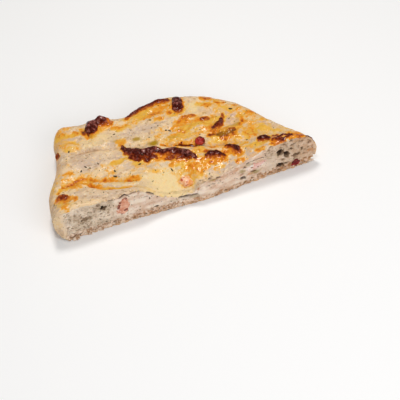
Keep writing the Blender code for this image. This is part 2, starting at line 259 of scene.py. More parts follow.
loaf = {
    "thickness": 25, "edgeRadius": 10.5, "roughVoxel": 1.3, "voxel": 0.85,
    "droop": 27,            # how far in from the cut the top leans towards its edge
    "fewerBelow": 0.76,     # share of its faces that the flat underside keeps
    "outline": (
        (0.4, -24), (-1.2, 8), (0.8, 29), (10.2, 50), (16.2, 69), (19, 91), (26, 101.5), (43, 99.5),
        (59, 98), (70, 94.5), (78.5, 91), (87, 94.5), (98, 97.5), (112, 99.5), (128, 95.5), (150, 83),
        (167, 65), (182.5, 36), (196, 13), (204, -3), (206, -24),
    ),
    "cutEdge": (            # height of the upper edge along the cut
        (-4, 29.5), (8, 31), (16, 31.2), (28, 29.2), (42, 27.4), (60, 28.2), (66, 26.5), (74, 20.5),
        (82, 14.8), (90, 12.2), (98, 11), (104, 12.6), (109, 17.6), (117, 19.3), (125, 20), (137, 22.4),
        (150, 25.8), (162, 29), (176, 29.8), (187, 29.8), (196, 28), (206, 24),
    ),
    "thickMiddle": {"x": 105, "y": 74, "long": 34, "wide": 24, "rise": 1.5},
    "opening": {"x": 88, "y": -1, "long": 18, "wide": 18.5},
    # height, length and seed of each set of waves
    "waves": ((0.9, 17, 3.1), (0.4, 6.5, 8.7)),
    "streaks": ((0.24, 5, 11), (0.1, 2.6, 12)),             # drawn out along the loaf
    "fineWaves": ((0.32, 4.4, 13), (0.17, 2.3, 14), (0.07, 1.3, 15)),
    "toasted": ((3.4, 3.8, 16), (2, 2, 17)),                # on golden cheese
    "wall": ((0.3, 8, 51), (0.16, 3, 52)),
    "wrinkles": ((0.34, 3, 53), (0.26, 1.7, 54)),
    "pebbled": 1.5,         # one blob of burnt cheese to so many mm of a blister
    # valleys between folds: half width and depth of the fold and of the sharp line at
    # its bottom, then x and y along it
    "creases": (
        (5, 2.3, 1, (16, 32), (24, 31.9), (31, 30.5), (46, 25), (62, 15.5)),
        (4, 1.7, 0.9, (33, 24), (41, 16.9), (52, 10.6), (64, 7.6)),
        (4.5, 2.2, 0.9, (34, 62.5), (40, 62.2), (50.3, 59.6), (64, 54.4), (80, 46.5)),
        (4.5, 1.9, 0.9, (98, 42.5), (109.5, 35.6), (116.5, 31.6), (132, 25.6), (150, 20)),
        (7, 1.1, 0, (24, 86), (32, 76), (44, 74)),
    ),
    "dents": (              # x, y, half sizes, turn, depth
        (153, 45, 8, 7, 0, 2), (119.6, 57, 6, 4, 15, 0.7), (26, 66, 9, 4, 0, 0.8),
        (84, 66, 14, 5, -8, 0.7), (166, 42, 6, 4, -40, 0.8), (60, 44, 10, 3, -12, 0.6),
    ),
    # blistered cheese: how dark its crest is, how far its orange edge runs out in front,
    # how much the crest's front shows, then x, y, half width and height along it
    "blisters": (
        (0.98, 4.6, 1, (66.4, 53.2, 1.6, 1.2), (68.6, 47.2, 3.2, 2.4), (72.6, 43, 4.7, 3.4),
         (77, 38.6, 5.4, 4), (82.6, 36.8, 4.5, 3.6), (88.4, 38.2, 3.5, 4.1)),
        (0.96, 4.6, 1, (88.6, 36.8, 3.4, 2.9), (92.8, 33.2, 3, 2.3), (98, 31.4, 3.9, 3.3),
         (103.4, 29.2, 4, 3.5), (108, 25.8, 3.7, 3), (111.4, 22, 3, 2.3), (113.4, 18.6, 1.6, 1.1)),
        (1, 3, 0.2, (49.6, 80.4, 5.4, 6.8), (52, 86, 5.6, 8.2)),
        (0.9, 4.2, 1, (58.4, 86.2, 5.2, 7.5), (59.2, 85.9, 4.3, 6.6)),
        (0.52, 3, 1, (62, 85, 4.4, 5.8), (64, 84.4, 3.6, 4.6)),
        (0.8, 6.5, 1, (78.5, 84.4, 1.2, 0.6), (85, 88, 1.9, 1), (92, 90.2, 2.1, 1.2),
         (99, 91.4, 2.2, 1.2), (106, 91.8, 2.2, 1.1), (113.5, 90.6, 2, 0.9)),
        (0.95, 6, 1, (121.2, 88.2, 3.4, 1.8), (120.2, 82, 4, 2.9), (118.5, 76.3, 4.3, 3.1)),
        (0.58, 3, 1, (148.4, 56.6, 0.8, 0.4), (146.8, 52.4, 1.4, 1)),
        (0.78, 3.4, 0.8, (145.2, 50.4, 1.6, 1.3), (142.8, 46.6, 2.7, 2.2), (140.2, 44.2, 2.8, 1.9),
         (136.4, 42.8, 1.5, 1)),
        (0.31, 2, 1, (136.4, 39, 1.6, 0.6), (141.6, 36.6, 2.2, 1.1), (148.8, 34.6, 2.5, 1.3),
         (155.6, 36.2, 1.8, 0.8)),
        (0.48, 5, 1, (113.4, 60.8, 0.8, 0.4), (116.4, 63, 1.2, 0.8), (121.6, 64.4, 1.4, 0.8),
         (127.4, 63, 1, 0.5)),
        (0.6, 4.6, 1, (131.8, 56.4, 1.8, 0.9), (135.4, 55.6, 1.8, 0.9)),
        (0.88, 7, 1, (122, 16.8, 1.7, 1.4), (125, 16.8, 2.7, 2.5), (129, 15.8, 2.8, 2.6),
         (133.4, 12.2, 1.7, 1.3)),
        (0.88, 6.4, 1, (138.8, 19.6, 1.6, 1.2), (142.2, 16.8, 2.9, 2.4), (144.2, 13.6, 2.8, 2.4),
         (145.2, 11, 1.6, 1.2)),
        (0.92, 5.4, 1, (163.6, 14.2, 2.6, 2), (166, 13.8, 3.4, 2.8), (168.8, 11.8, 2.4, 1.6)),
        (0.74, 3.4, 1, (171, 6.6, 1.6, 1.1), (174.4, 4.6, 2.2, 1.7), (177.6, 3, 1.9, 1.4)),
        (0.84, 1.6, 1, (176, 8.4, 1, 0.8), (180, 8.6, 1.1, 1.1), (183.6, 6.7, 1, 0.8)),
        (0.84, 2.4, 1, (179.6, 3.8, 1, 0.9), (183.2, 4.6, 1, 0.9), (185.6, 4.8, 0.9, 0.7)),
        (0.7, 7, 1, (9.4, 20.4, 2.6, 2), (13, 18.6, 2.6, 1.6)),
        (0.18, 2.5, 1, (27.5, 72.6, 4.6, 1.4), (33, 70.4, 4.4, 1.4)),
        (0.36, 2, 1, (25.6, 88.4, 2, 0.9), (27.2, 88, 2, 0.9)),
        (0.42, 2.4, 1, (36.4, 85.2, 2.2, 0.8), (38, 84.8, 2.2, 0.8)),
        (0.66, 2, 1, (18.3, 71.8, 1.6, 0.8), (18.1, 69.6, 1.6, 0.7)),
        (0.84, 2, 1, (196.4, 1.6, 1.5, 0.7), (200, 0.4, 1.6, 0.6)),
    ),
    # flat stains of browned cheese and fat: how brown, how soft, then x, y, half width
    "stains": (
        (0.46, 4.2, (57.4, 18.8, 1.2), (62.6, 17.2, 2), (67.5, 16, 1.2)),
        (0.43, 3.8, (42.4, 25.6, 1), (46, 24.4, 1.5), (52, 22.4, 1)),
        (0.42, 1.8, (29.5, 33.4, 1), (35, 31, 1.3), (39.2, 27.4, 1)),
        (0.43, 2.2, (32, 24.8, 1), (36, 21.6, 1.9), (40, 17.8, 1.2)),
        (0.46, 1.6, (12, 29, 0.8), (18.3, 31.6, 1.3), (24.2, 33.6, 1.3), (30, 33.2, 1)),
        (0.44, 1.6, (9.4, 25, 0.8), (13, 29.4, 1)),
        (0.36, 1.8, (22, 30.4, 0.8), (30, 28, 1.1), (34, 26.2, 1)),
        (0.4, 1.2, (36, 20.2, 0.7), (41, 16.4, 0.8), (51.7, 10.8, 0.9), (60, 8.8, 0.9)),
        (0.34, 2.2, (17, 43.4, 1.2), (23.6, 42.4, 1.5)),
        (0.38, 1.8, (55.6, 39.2, 1.4), (59.6, 38.2, 1.6)),
        (0.46, 3.4, (66.4, 58.8, 1.9), (67.6, 58.4, 1.9)),
        (0.44, 1.8, (100, 71, 1.9), (102.4, 69.8, 1.8)),
        (0.47, 3, (10, 15, 3.8), (14.4, 13.4, 4.2), (18.6, 12.8, 2.2)),
        (0.43, 2.8, (12, 10.6, 3.6), (10, 5.4, 2.6)),
        (0.38, 3.4, (99.5, 11.4, 1.6), (103.4, 13, 2.6), (108, 14, 2.6), (113, 12.6, 2.4)),
        (0.3, 3.4, (105, 17, 2), (113, 16.6, 2.4)), (0.26, 2.4, (124.4, 3.6, 1.8), (128.4, 2.8, 1.7)),
        (0.46, 1.8, (157, 2.6, 1.3), (161, 2, 1.3)),
        (0.54, 1.8, (161, 49.4, 0.9), (160, 45.4, 1.1), (159, 41.8, 0.9)),
        (0.2, 4, (90, 46, 2), (99.5, 43.4, 2.4), (111, 42, 2.6)),
        (0.22, 5, (112, 44, 3), (122, 42, 3.4), (130, 44, 3)),
        (0.46, 3.6, (110.2, 53, 2.4), (114, 49.6, 3), (119, 50.6, 2.6)),
        (0.33, 4, (112, 57, 3), (118, 58.4, 3.2), (121.4, 57.6, 2.4)),
        (0.42, 2.2, (131.4, 51.6, 1.8), (131.8, 49.6, 1.8)),
        (0.44, 2.6, (136, 36.4, 1.2), (141, 32.4, 1.6), (149, 30, 1.4)),
        (0.24, 5, (168, 30, 2), (172, 24, 2.6)), (0.32, 4, (156, 26, 1.6), (161, 22, 1.8)),
        (0.2, 6, (150, 66, 2.4), (160, 56, 2.8), (170, 42, 2.6)),
        (0.18, 4, (110, 71, 1.6), (118, 69.6, 1.8)),
        (0.46, 2.4, (139.6, 79, 1.4), (146, 75.4, 1.8), (153, 70.6, 1.4)),
        (0.34, 2.8, (134, 74, 1.6), (142, 69, 1.6)), (0.3, 4, (86, 82, 2), (98, 84, 2.6), (110, 83, 2)),
        (0.28, 3.2, (46, 77.6, 1.4), (54, 78.5, 1.6), (64, 80, 1.4)),
        (0.17, 2.2, (73.7, 19.9, 1), (79.4, 18.7, 1.2), (85.2, 17.4, 1)),
        (0.22, 5, (22.5, 88, 2.4), (25, 95, 2.4), (34, 96, 2)),
        (0.25, 2.4, (22, 78, 1.6), (26, 73.6, 1.8), (33, 74.8, 1.6)),
        (0.86, 1.2, (105.4, 37.8, 1), (108.4, 36.4, 1.9), (113.6, 32.6, 1.9), (117.6, 30.6, 1.2)),
        (0.44, 1.2, (94, 42, 0.8), (102.6, 38.2, 0.9)),
        (0.62, 1.6, (111.2, 33.4, 1.1), (118, 29.4, 1.1)),
        (0.28, 2.4, (149, 16.4, 1.3), (153, 16, 1.3)),
        (0.62, 1.2, (143.4, 31.8, 0.7), (147.8, 30.6, 0.8)),
        (0.48, 1.6, (114.6, 14.8, 0.8), (119, 16.2, 1.1), (123, 16.4, 1.2)),
        (0.36, 4, (107, 20.4, 2.2), (113, 18.6, 2.8), (117.6, 14, 2.6), (119, 9, 2)),
        (0.3, 3.6, (98, 6, 2.4), (103, 4, 2.6)),
        (0.71, 2.4, (68.5, 39.6, 1), (74, 33.2, 1.8), (80, 31.2, 1.8), (86, 31.6, 1.5)),
        (0.7, 3.6, (94.4, 27, 1.2), (98.4, 25.6, 1.9), (104, 23.6, 1.9), (109, 20.8, 1.5)),
        (0.6, 2.8, (122.5, 10.4, 1.4), (127.5, 8.8, 2.2), (132.5, 7.6, 1.4)),
        (0.48, 3, (142.4, 8.6, 1.2), (146, 6.6, 1.8)),
        (0.56, 2.2, (41.6, 86, 1), (43.4, 82.6, 1.4), (44.6, 77, 1.2)),
        (0.48, 3, (111.8, 78.6, 1.2), (111.2, 74, 1.4)),
        (0.38, 4.4, (91, 77, 1.6), (99, 77.6, 2.2), (106, 78.6, 1.8)),
        (0.64, 2.6, (169, 2.4, 1.2), (173, 1.3, 1.4)), (0.38, 3, (109, 9, 2), (113, 5.6, 2)),
        (0.45, 3.2, (96.4, 19.6, 1), (101, 20, 1.9), (106, 19.2, 1.6)),
        (0.46, 2.4, (148.6, 69.2, 1.2), (153, 66.4, 1.2)),
        (0.52, 1.8, (120.8, 21.8, 1.1), (123.4, 20.4, 1.1)), (0.4, 2.2, (30.6, 84, 1.2), (34, 83, 1.2)),
        (0.46, 2.4, (128.4, 24.4, 1.3), (132, 23.6, 1.1)), (0.42, 1.8, (140.6, 2, 1), (144.4, 1.4, 1)),
        (0.48, 1.6, (183.4, 1.9, 0.9), (187.6, 1.2, 0.9)),
        (0.56, 1.6, (173.4, 12.2, 1.1), (175.4, 10.9, 0.9)),
        (0.46, 2.4, (134.8, 15.2, 1.2), (138.6, 14, 1.2)),
        (0.38, 3, (124.6, 46, 1.4), (130, 44.8, 1.6)), (0.35, 2.8, (65, 76, 1.3), (69.6, 74.4, 1.3)),
        (0.52, 1.8, (169.6, 9.8, 1), (172.4, 8.6, 1.2)), (0.34, 4, (145, 27.6, 2), (150, 25.6, 2.2)),
        (0.34, 2, (138, 38.2, 1.8), (143.9, 36.8, 2.4), (148.9, 35, 2.6), (155.4, 36.4, 1.8)),
        (0.42, 2, (160, 27.6, 1.4), (163.6, 25.4, 1.4)),
        (0.47, 3, (183, 6.6, 1.4), (190, 4.2, 1.8), (195, 2.4, 1.6)),
    ),
    "smeared": (            # the same, but less mottled
        (0.5, 2.6, (138, 28.8, 1.8), (143, 27.6, 2.2), (148.6, 28.8, 1.8)),
        (0.7, 2.6, (131, 37, 1.4), (136, 34.4, 2.2), (143, 32.6, 2.6), (149, 34, 2)),
    ),
    # tan dough at the rim, pale cheese, green oil and so on: x, y, half sizes, turn, share
    "washes": {
        "baked": (
            (0, 34, 7, 24, 0, 0.9), (10, 52, 7, 24, -15, 0.8), (22, 88, 11, 17, -10, 0.95),
            (30, 98, 16, 6, 0, 0.6), (60, 96, 26, 5, 0, 0.45), (146, 84, 26, 5, -38, 0.7),
            (180, 48, 34, 8, -58, 0.85), (196, 14, 12, 8, -55, 0.9), (165, 26, 30, 14, -30, 0.5),
            (153, 0, 5, 2, 0, 0.9), (150, 50, 28, 20, -30, 0.45), (115, 78, 24, 12, 0, 0.3),
            (120, 26, 26, 12, -15, 0.35),
        ),
        "golden": (
            (152, 34, 36, 30, -45, 0.19), (116, 50, 28, 24, -10, 0.16), (104, 20, 20, 14, -10, 0.15),
            (22, 88, 16, 18, 0, 0.06), (24, 30, 28, 9, -8, 0.12), (8, 40, 8, 40, -5, 0.08),
            (95, 82, 34, 14, 0, 0.1), (76, 33, 30, 9, -15, 0.19), (60, 80, 20, 8, 0, 0.1),
            (44, 36, 24, 9, -6, 0.09), (184, 12, 24, 12, -30, 0.11), (140, 14, 30, 12, -10, 0.16),
            (84, 24, 22, 6, -14, 0.17), (126, 24, 22, 8, -14, 0.17), (112, 8, 16, 8, 0, 0.17),
        ),
        "creamy": (
            (128.2, 68.4, 6, 3, -10, 0.9), (53.1, 21.4, 4, 1.8, -16, 0.9),
            (154.6, 11.4, 5, 2.6, -30, 0.9), (127, 55, 4, 2.4, 0, 0.8), (131, 73, 11, 6, -12, 1),
            (52, 71, 20, 5, -3, 0.7), (85, 9, 21, 15, 0, 1), (58, 14.5, 14, 3.2, -24, 0.6),
            (88, 52, 14, 4, -20, 0.4), (50, 66, 24, 3, -3, 0.5), (136, 28, 12, 4, -12, 0.3),
            (174, 22, 16, 5, -45, 0.6), (164, 41, 4.6, 3.4, -40, 0.8), (18, 37, 12, 4, 0, 0.25),
            (60, 20, 20, 4, -14, 0.35),
        ),
        "yellow": (
            (79.6, 18.8, 10, 2.2, -10, 0.8), (109.9, 8.4, 5, 3.4, 0, 0.9),
            (100.4, 11.6, 5, 3.2, 0, 0.8), (58, 38, 4, 1.8, -10, 0.9), (111.2, 43.6, 8, 4, -10, 0.8),
            (100.4, 44.2, 7, 3, -15, 0.6), (67, 58.7, 5.6, 5, 0, 0.6), (20, 33.2, 8, 2.4, 10, 0.7),
            (38, 29, 12, 2.2, -18, 0.5), (148.5, 36, 11, 3.6, 0, 1), (154.6, 41.4, 7, 3.6, 60, 0.7),
            (164, 32, 8, 3.6, -40, 0.25), (133, 62, 8, 3, 0, 0.4), (134, 33, 9, 2.4, 8, 0.9),
            (15, 5, 5, 3, 0, 0.5), (54, 77, 12, 3, 0, 0.5), (146, 66, 7, 3, -30, 0.4),
            (124, 7, 5, 2, -10, 0.5), (168, 22, 7, 3, -40, 0.25), (118, 46.6, 7, 2, 0, 0.6),
            (70, 34.6, 5, 1.8, -20, 0.3), (70, 4, 12, 2, -26, 0.5), (180, 16, 7, 3, -35, 0.2),
        ),
        "green": (
            (141, 33.6, 11, 3, -4, 0.45), (78.4, 56.8, 4, 2.2, -10, 0.9),
            (89.4, 46.4, 5.2, 3.4, -10, 1), (63, 62, 2.4, 1.3, 0, 0.5), (152, 41, 7, 2.2, 0, 0.45),
            (120, 92, 5, 2, -10, 0.3), (104, 46, 8, 2, -10, 0.35),
        ),
        "grey": (
            (132, 4, 24, 5, -4, 0.75), (156, 4, 16, 4, 0, 0.6), (40, 46, 22, 9, -6, 0.45),
            (44, 8, 26, 6, -8, 0.35), (80, 66, 20, 7, -10, 0.45), (74, 30, 18, 7, -14, 0.4),
            (150, 60, 9, 4, -30, 0.4), (30, 14, 14, 6, 0, 0.3), (60, 60, 12, 5, 0, 0.3),
            (147, 26, 14, 4, -15, 0.45), (110, 74, 14, 6, 0, 0.35), (172, 31, 7, 2.6, -50, 0.7),
            (180, 20, 6, 2.4, -50, 0.6), (160, 50, 6, 2.6, -40, 0.7), (153, 47, 7, 7.5, 0, 0.9),
            (92, 21, 7, 3, -10, 0.8), (164.6, 40.6, 5, 4, -40, 0.9), (102, 14.8, 4, 1.6, 0, 0.5),
            (158, 27, 8, 3, -20, 0.5),
        ),
    },
}


def edgeHeight(x):
    return np.interp(x, *zip(*loaf["cutEdge"]))


def bowOf(x):
    swell = np.exp(-(((x - cut["bowX"]) / cut["bowHalf"]) ** 2))
    return cut["bowBack"] - cut["bowForward"] * swell


def behindCut(x, y):
    return y - bowOf(x) * fade(y, 0, cut["bowFade"])


def loafTop(x, y):
    edge = edgeHeight(x)
    rise = loaf["thickMiddle"]
    inside = loaf["thickness"] + rise["rise"] * np.exp(
        -(((x - rise["x"]) / rise["long"]) ** 2 + ((y - rise["y"]) / rise["wide"]) ** 2)
    )
    across = np.clip(behindCut(x, y) / loaf["droop"], 0, 1)
    return edge + (inside - edge) * (ease(across, 0, 1) + across * (2 - across)) / 2


def openingReach(x, y):
    gap = loaf["opening"]
    return np.hypot((x - gap["x"]) / gap["long"], (behindCut(x, y) - gap["y"]) / gap["wide"])


def coarseRelief(x, y):
    height = np.zeros(len(x))
    for size, length, seed in loaf["waves"]:
        places = [Vector((a / length, b / length, seed)) for a, b in zip(x, y)]
        height += size * np.array([noise.noise(place) for place in places])
    for width, depth, nip, *line in loaf["creases"]:
        height -= depth * np.exp(-2.2 * (lineDistance(x, y, line) / width) ** 2)
    for *patch, depth in loaf["dents"]:
        along, across = onPatch(x, y, *patch)
        height -= depth * np.exp(-(along ** 2 + across ** 2))
    return height


def creaseShadeAt(x, y, flat):
    # painted shade in the creases: how near the bottom of a sharp fold
    away = [lineDistance(x, y, line) for width, depth, nip, *line in loaf["creases"] if nip]
    return np.exp(-(((np.min(away, axis=0) + 0.35 * ripple(flat, 3, 21)) / 0.6) ** 2))


def fineRelief(x, y):
    flat = np.column_stack([x, y, np.zeros(len(x))])
    height = ripples(flat, loaf["fineWaves"]) + ripples(streaked(flat), loaf["streaks"])
    height += washAt(flat, "golden") * ripples(flat, loaf["toasted"])
    for width, depth, nip, *line in loaf["creases"]:
        away = lineDistance(x, y, line) + 0.35 * ripple(flat, 3, 21)
        height -= nip * np.exp(-((away / 0.8) ** 2))
        height += 0.35 * nip * np.exp(-(((away - 2.1) / 1.1) ** 2))
    return height


def washAt(points, name):
    edge = 0.28 * ripple(points, 5, 41) + 0.14 * ripple(points, 2, 42)
    return patchesAt(points[:, 0], points[:, 1], loaf["washes"][name], edge, 0.35, 1.25)


def browningAt(points):
    x, y = points[:, 0], points[:, 1]
    wobble = 0.55 * ripple(points, 2.8, 31) + 0.32 * ripple(points, 1.3, 32)
    mottle = 0.5 * ripple(streaked(points), 4, 33) + 0.35 * ripple(points, 2, 34)
    mottle += 0.5 * ripple(points, 9, 35)
    golden = washAt(points, "golden") * (1 - 0.75 * washAt(points, "grey"))
    tone = np.clip(golden * (1 + 2.2 * mottle) + 0.09 * mottle, 0, 0.42)
    patchy = np.clip(1 + 0.55 * ripple(streaked(points), 3.2, 36), 0.6, 1.12)
    for kind, mottled in (("stains", patchy), ("smeared", patchy ** 0.3)):
        for brown, soft, *chain in loaf[kind]:
            reach, width, front = chainReach(x, y, chain)
            end = 1 + 1.2 * soft / width
            reach = reach + (0.55 + 0.35 * end) * wobble
            tone = np.maximum(tone, brown * fade(reach, 0.35, end) ** 1.3 * mottled)
    for burn, foot, shown, *chain in loaf["blisters"]:
        # dark crest, then a fast fall to red-brown and a long one to gold in front
        reach, width, front = chainReach(x, y, chain)
        reach = reach + wobble / np.maximum(width, 1.5)
        end = 1.15 + foot / width * np.clip(0.15 + 0.85 * front, 0.10, 1)
        ahead = np.clip(front, 0, 1) * shown
        redBrown = min(burn, 0.56)
        spot = redBrown * fade(reach, 0.85 + 0.15 * ahead, end) ** 1.2
        spot += (burn - redBrown) * fade(reach, 0.84 - 0.70 * ahead, 1.06 + 0.14 * ahead)
        tone = np.maximum(tone, spot)
    return tone


def cheeseBlobs(body):
    # each blister is a row of lumps that run into each other
    tree = treeOf(body)
    random = np.random.default_rng(5)
    blobs = []
    for burn, foot, shown, *chain in loaf["blisters"]:
        for a, b in zip(chain[:-1], chain[1:]):
            a, b = np.array(a, float), np.array(b, float)
            steps = max(2, int(math.dist(a[:2], b[:2]) / loaf["pebbled"]))
            for t in np.linspace(0, 1, steps, endpoint=False):
                x, y, half, rise = a + (b - a) * t
                uneven = 0.3 if rise > 5 else 1
                x += random.normal(0, 0.14) * half * uneven
                y += random.normal(0, 0.10) * half * uneven
                half = half * random.uniform(1 - 0.22 * uneven, 1.06)
                rise = rise * random.uniform(1 - 0.20 * uneven, 1.06)
                tall = max(rise, 0.9 * half)
                hit = tree.ray_cast(Vector((x, y, overhead)), down)[0]
                z = hit.z if hit else 0
                centre = (x, y + 0.12 * half, z + rise - tall)
                blobs.append(lump("blob", centre, (half, half * 0.92, tall), 3, 0.20, 0.08))
                if half < 2:
                    continue
                # a lower one in front, so that the crest slopes towards the cut
                slope = (x + random.normal(0, 0.2) * half, y - 0.55 * half, z + 0.55 * rise - 0.7 * half)
                blobs.append(lump("blob", slope, (0.8 * half, 0.75 * half, 0.7 * half), 3, 0.25, 0.08))
    return blobs


# The loaf before it is cut: slab, folds, blisters, then fine relief
def makeLoaf():
    body = roundedSlab("bread", loaf["outline"], loaf["thickness"], loaf["edgeRadius"])
    points = remeshed(body, loaf["roughVoxel"])[0]
    x, y, z = points.T
    share = z / loaf["thickness"]
    raised = z * loafTop(x, y) / loaf["thickness"] + coarseRelief(x, y) * ease(share, 0.45, 0.9)
    points[:, 2] = np.where(share < 0.02, 0, raised)
    movePoints(body.data, points)
    blobs = [body, *cheeseBlobs(body)]
    work = bmesh.new()
    for obj in blobs:
        work.from_mesh(obj.data)
        remove(obj)
    body = objectFrom("bread", work)
    points, normals = remeshed(body, loaf["voxel"], 2)
    x, y, z = points.T
    burnt = ease(browningAt(points), 0.5, 0.85)
    upward = ease(normals[:, 2], 0.25, 0.7)
    side = (1 - upward) * ease(z, 0.5, 3)
    push = ripples(points, loaf["wall"]) * side + ripples(points, loaf["wrinkles"]) * burnt
    push *= 1 - 0.7 * ease(z, 29, 31) * burnt
    points += normals * push[:, None]
    points[:, 2] += fineRelief(x, y) * upward
    points[:, 2] = np.where(z < 0.2, 0, np.maximum(points[:, 2], 0))
    movePoints(body.data, points)
    flat = body.vertex_groups.new(name="flat underside")
    flat.add([int(i) for i in np.nonzero(points[:, 2] < 0.01)[0]], 1, "REPLACE")
    modified(body, "DECIMATE", vertex_group=flat.name, ratio=loaf["fewerBelow"],
             use_collapse_triangulate=True)
    print("loaf:", len(body.data.polygons), "faces")
    return body


# The cut: the path of the knife, and the crust, crumb and cheese that it laid open
cut = {
    "bowBack": 0.9, "bowForward": 3.6, "bowX": 112, "bowHalf": 36, "bowFade": 34,
    # the knife block, and how fine its face is for the bread, the cheese and the meats
    "left": -14, "right": 216, "low": -3, "high": 40, "back": -42,
    "crumbStep": 0.40, "cheeseStep": 0.55, "meatStep": 0.5,
    "lip": 2.2, "leftRoll": 3.6, "rollEnds": (4, 24),       # how the crust rolls over the cut
    "cornerBack": 4, "corner": (-2.8, 8),
    "faceDepth": 9,         # painted shade of pits and gaps reaches no further in than this
    "rollDepth": 12, "rollLowest": 9,                       # how far that crust can reach
    "crumbEnds": (36, 50, 158, 170),                        # open crumb outside, filling between
    "cheesePits": {"count": 150, "along": (44, 168), "up": (4, 27), "smallest": 0.4, "spread": 0.9},
    "doughEdge": (          # top of the bottom dough along the cut
        (0, 5.5), (39, 5.5), (49, 6), (60, 4.6), (67, 6.3), (75, 6.6), (85, 7.2), (93, 6.8), (105, 5.2),
        (117, 3.6), (132, 3.6), (144, 4.4), (158, 6.6), (200, 6),
    ),
    "cracks": (             # gaps that the knife opened: half width, depth, then x and z along them
        (0.55, 2.2, (41.1, 28.6), (43, 29)),
        (0.55, 2.2, (41.2, 25.2), (43.6, 24.8)),
        (0.7, 2.8, (49.6, 24.6), (51.6, 25.6), (53.4, 26.2), (55.2, 25.2)),
        (0.45, 2.2, (55.2, 25.2), (58, 25.8), (61.3, 26.2), (64.6, 25.6)),
        (0.55, 2.6, (69.5, 22.2), (71.6, 20.8), (73.9, 18.6)),
        (0.85, 3.2, (92.6, 8.9), (97.2, 8.2), (101, 7.9), (105.6, 7.8)),
        (0.35, 1.8, (110, 16.6), (113, 17.2), (116.4, 18.2)),
        (0.95, 3, (116.8, 18.2), (118.4, 18.6)),
        (0.7, 1.8, (122.6, 16.9), (124.6, 16.7)),
        (0.4, 1.7, (147, 19.6), (152, 20.2), (158, 20.4), (163, 19.6)),
    ),
    "bubbles": (            # open bubbles: x, z, half width, half height, depth
        (22, 14.6, 4.4, 2.8, 1.6), (35.9, 20.4, 2.8, 2.5, 3.2), (33.2, 24.4, 2.3, 1.5, 1.5),
        (74.6, 6.9, 2, 1.2, 2.6), (142.4, 7.5, 2.1, 1.8, 3), (145.1, 17, 1.4, 1.1, 2.4),
        (151.4, 10.4, 2.8, 1, 1.5), (173.8, 18.8, 3, 3.4, 3.8), (178.8, 15, 2.5, 3.2, 3.8),
        (186.2, 12, 3.2, 2.4, 1.9), (182.9, 19.2, 1.4, 1.5, 2), (173.2, 6.4, 3.3, 2.3, 3.2),
        (177.6, 7.4, 2.6, 1.2, 2.4), (191.2, 16.2, 1.4, 1.7, 1.6), (197.4, 20.6, 1.8, 1.4, 1.6),
    ),
    "pits": (               # left, right, low, high, how many, smallest and largest half width
        (5, 46, 3, 27, 560, 0.38, 0.85), (10, 34, 14, 23, 90, 0.5, 0.95),
        (160, 202, 2, 29, 230, 0.4, 1.1), (0, 202, 0.4, 6, 480, 0.34, 0.85),
        (44, 166, 12, 28, 130, 0.35, 0.8),
    ),
    "toasted": (            # browned bits: x, z, half sizes, amount
        (118, 2.2, 44, 3, 0.35), (162, 1.8, 30, 3, 0.5), (107.1, 13.2, 1, 2.6, 0.9),
        (140, 13, 34, 11, 0.24), (195, 14, 12, 11, 0.3), (72, 2.4, 30, 3.4, 0.35),
        (140, 18.6, 8, 2.4, 0.75), (129.4, 17.4, 5, 2, 0.5), (148.9, 9, 4.4, 1.8, 0.7),
        (156.1, 18.2, 4.4, 2, 0.6), (173.2, 3.9, 2.6, 1.5, 0.9), (120.1, 19.4, 3.4, 1.5, 0.7),
        (185, 28.8, 4, 1.6, 0.8), (157, 22, 8, 2.2, 0.5), (123, 16.6, 8, 1.3, 0.6),
        (58, 26.4, 8, 1.1, 0.6), (72, 21, 3.6, 1.2, 0.6), (190, 25.6, 9, 2.4, 0.7),
        (197.5, 21, 3.6, 4.4, 0.6), (197, 11.6, 4.6, 3.6, 0.9), (186, 3.4, 13, 2.8, 0.6),
        (176, 6.2, 6, 2, 0.5), (183, 22.5, 6, 1.4, 0.4),
    ),
    "olive": (              # bits of herb stalk and green oil in the filling
        (142.6, 13.9, 2.6, 2.8, 0.8), (153.4, 8.9, 5, 1.7, 0.8), (147.9, 18.4, 5, 1.4, 0.5),
        (119.6, 16.8, 4.6, 1, 0.7), (35.9, 20.4, 3.6, 3.2, 0.5), (174, 18.8, 3.4, 3.8, 0.6),
        (88, 8.4, 8, 1.2, 0.4), (104, 6.6, 6, 1, 0.4),
    ),
}


def doughEdge(x):
    return np.interp(x, *zip(*cut["doughEdge"]))


def crumbShare(x, z):
    # 1 in open crumb, 0 in the smooth filling
    leftOut, leftIn, rightIn, rightOut = cut["crumbEnds"]
    ends = 1 - ease(x, leftOut, leftIn) * fade(x, rightIn, rightOut)
    return np.maximum(ends, fade(z - doughEdge(x), -0.6, 0.8))


def lipOf(x):
    return cut["lip"] + cut["leftRoll"] * fade(x, *cut["rollEnds"])


def underEdge(x, z):
    # how far below the upper edge of the cut
    return edgeHeight(x) - z + 0.5 * ripple(onFace(x, z), 5, 59)


def crumbPits():
    random = np.random.default_rng(77)
    for left, right, low, high, count, smallest, largest in cut["pits"]:
        for index in range(count):
            half = smallest + (largest - smallest) * random.uniform() ** 2.2
            yield (random.uniform(left, right), random.uniform(low, high),
                   half * random.uniform(1, 1.7), half * random.uniform(0.7, 1),
                   half * random.uniform(1, 1.9))


def cheesePits():
    random = np.random.default_rng(78)
    pits = cut["cheesePits"]
    for index in range(pits["count"]):
        x, z = random.uniform(*pits["along"]), random.uniform(*pits["up"])
        half = pits["smallest"] + pits["spread"] * random.uniform() ** 2.4
        yield x, z, half * random.uniform(1, 2.4), half * 0.8, half


def pitDepth(x, z, pits):
    depth = np.zeros(len(x))
    for px, pz, wide, tall, deep in pits:
        near = (np.abs(x - px) < wide) & (np.abs(z - pz) < tall)
        reach = ((x[near] - px) / wide) ** 2 + ((z[near] - pz) / tall) ** 2
        depth[near] = np.maximum(depth[near], deep * np.sqrt(np.clip(1 - reach, 0, 1)))
    return depth


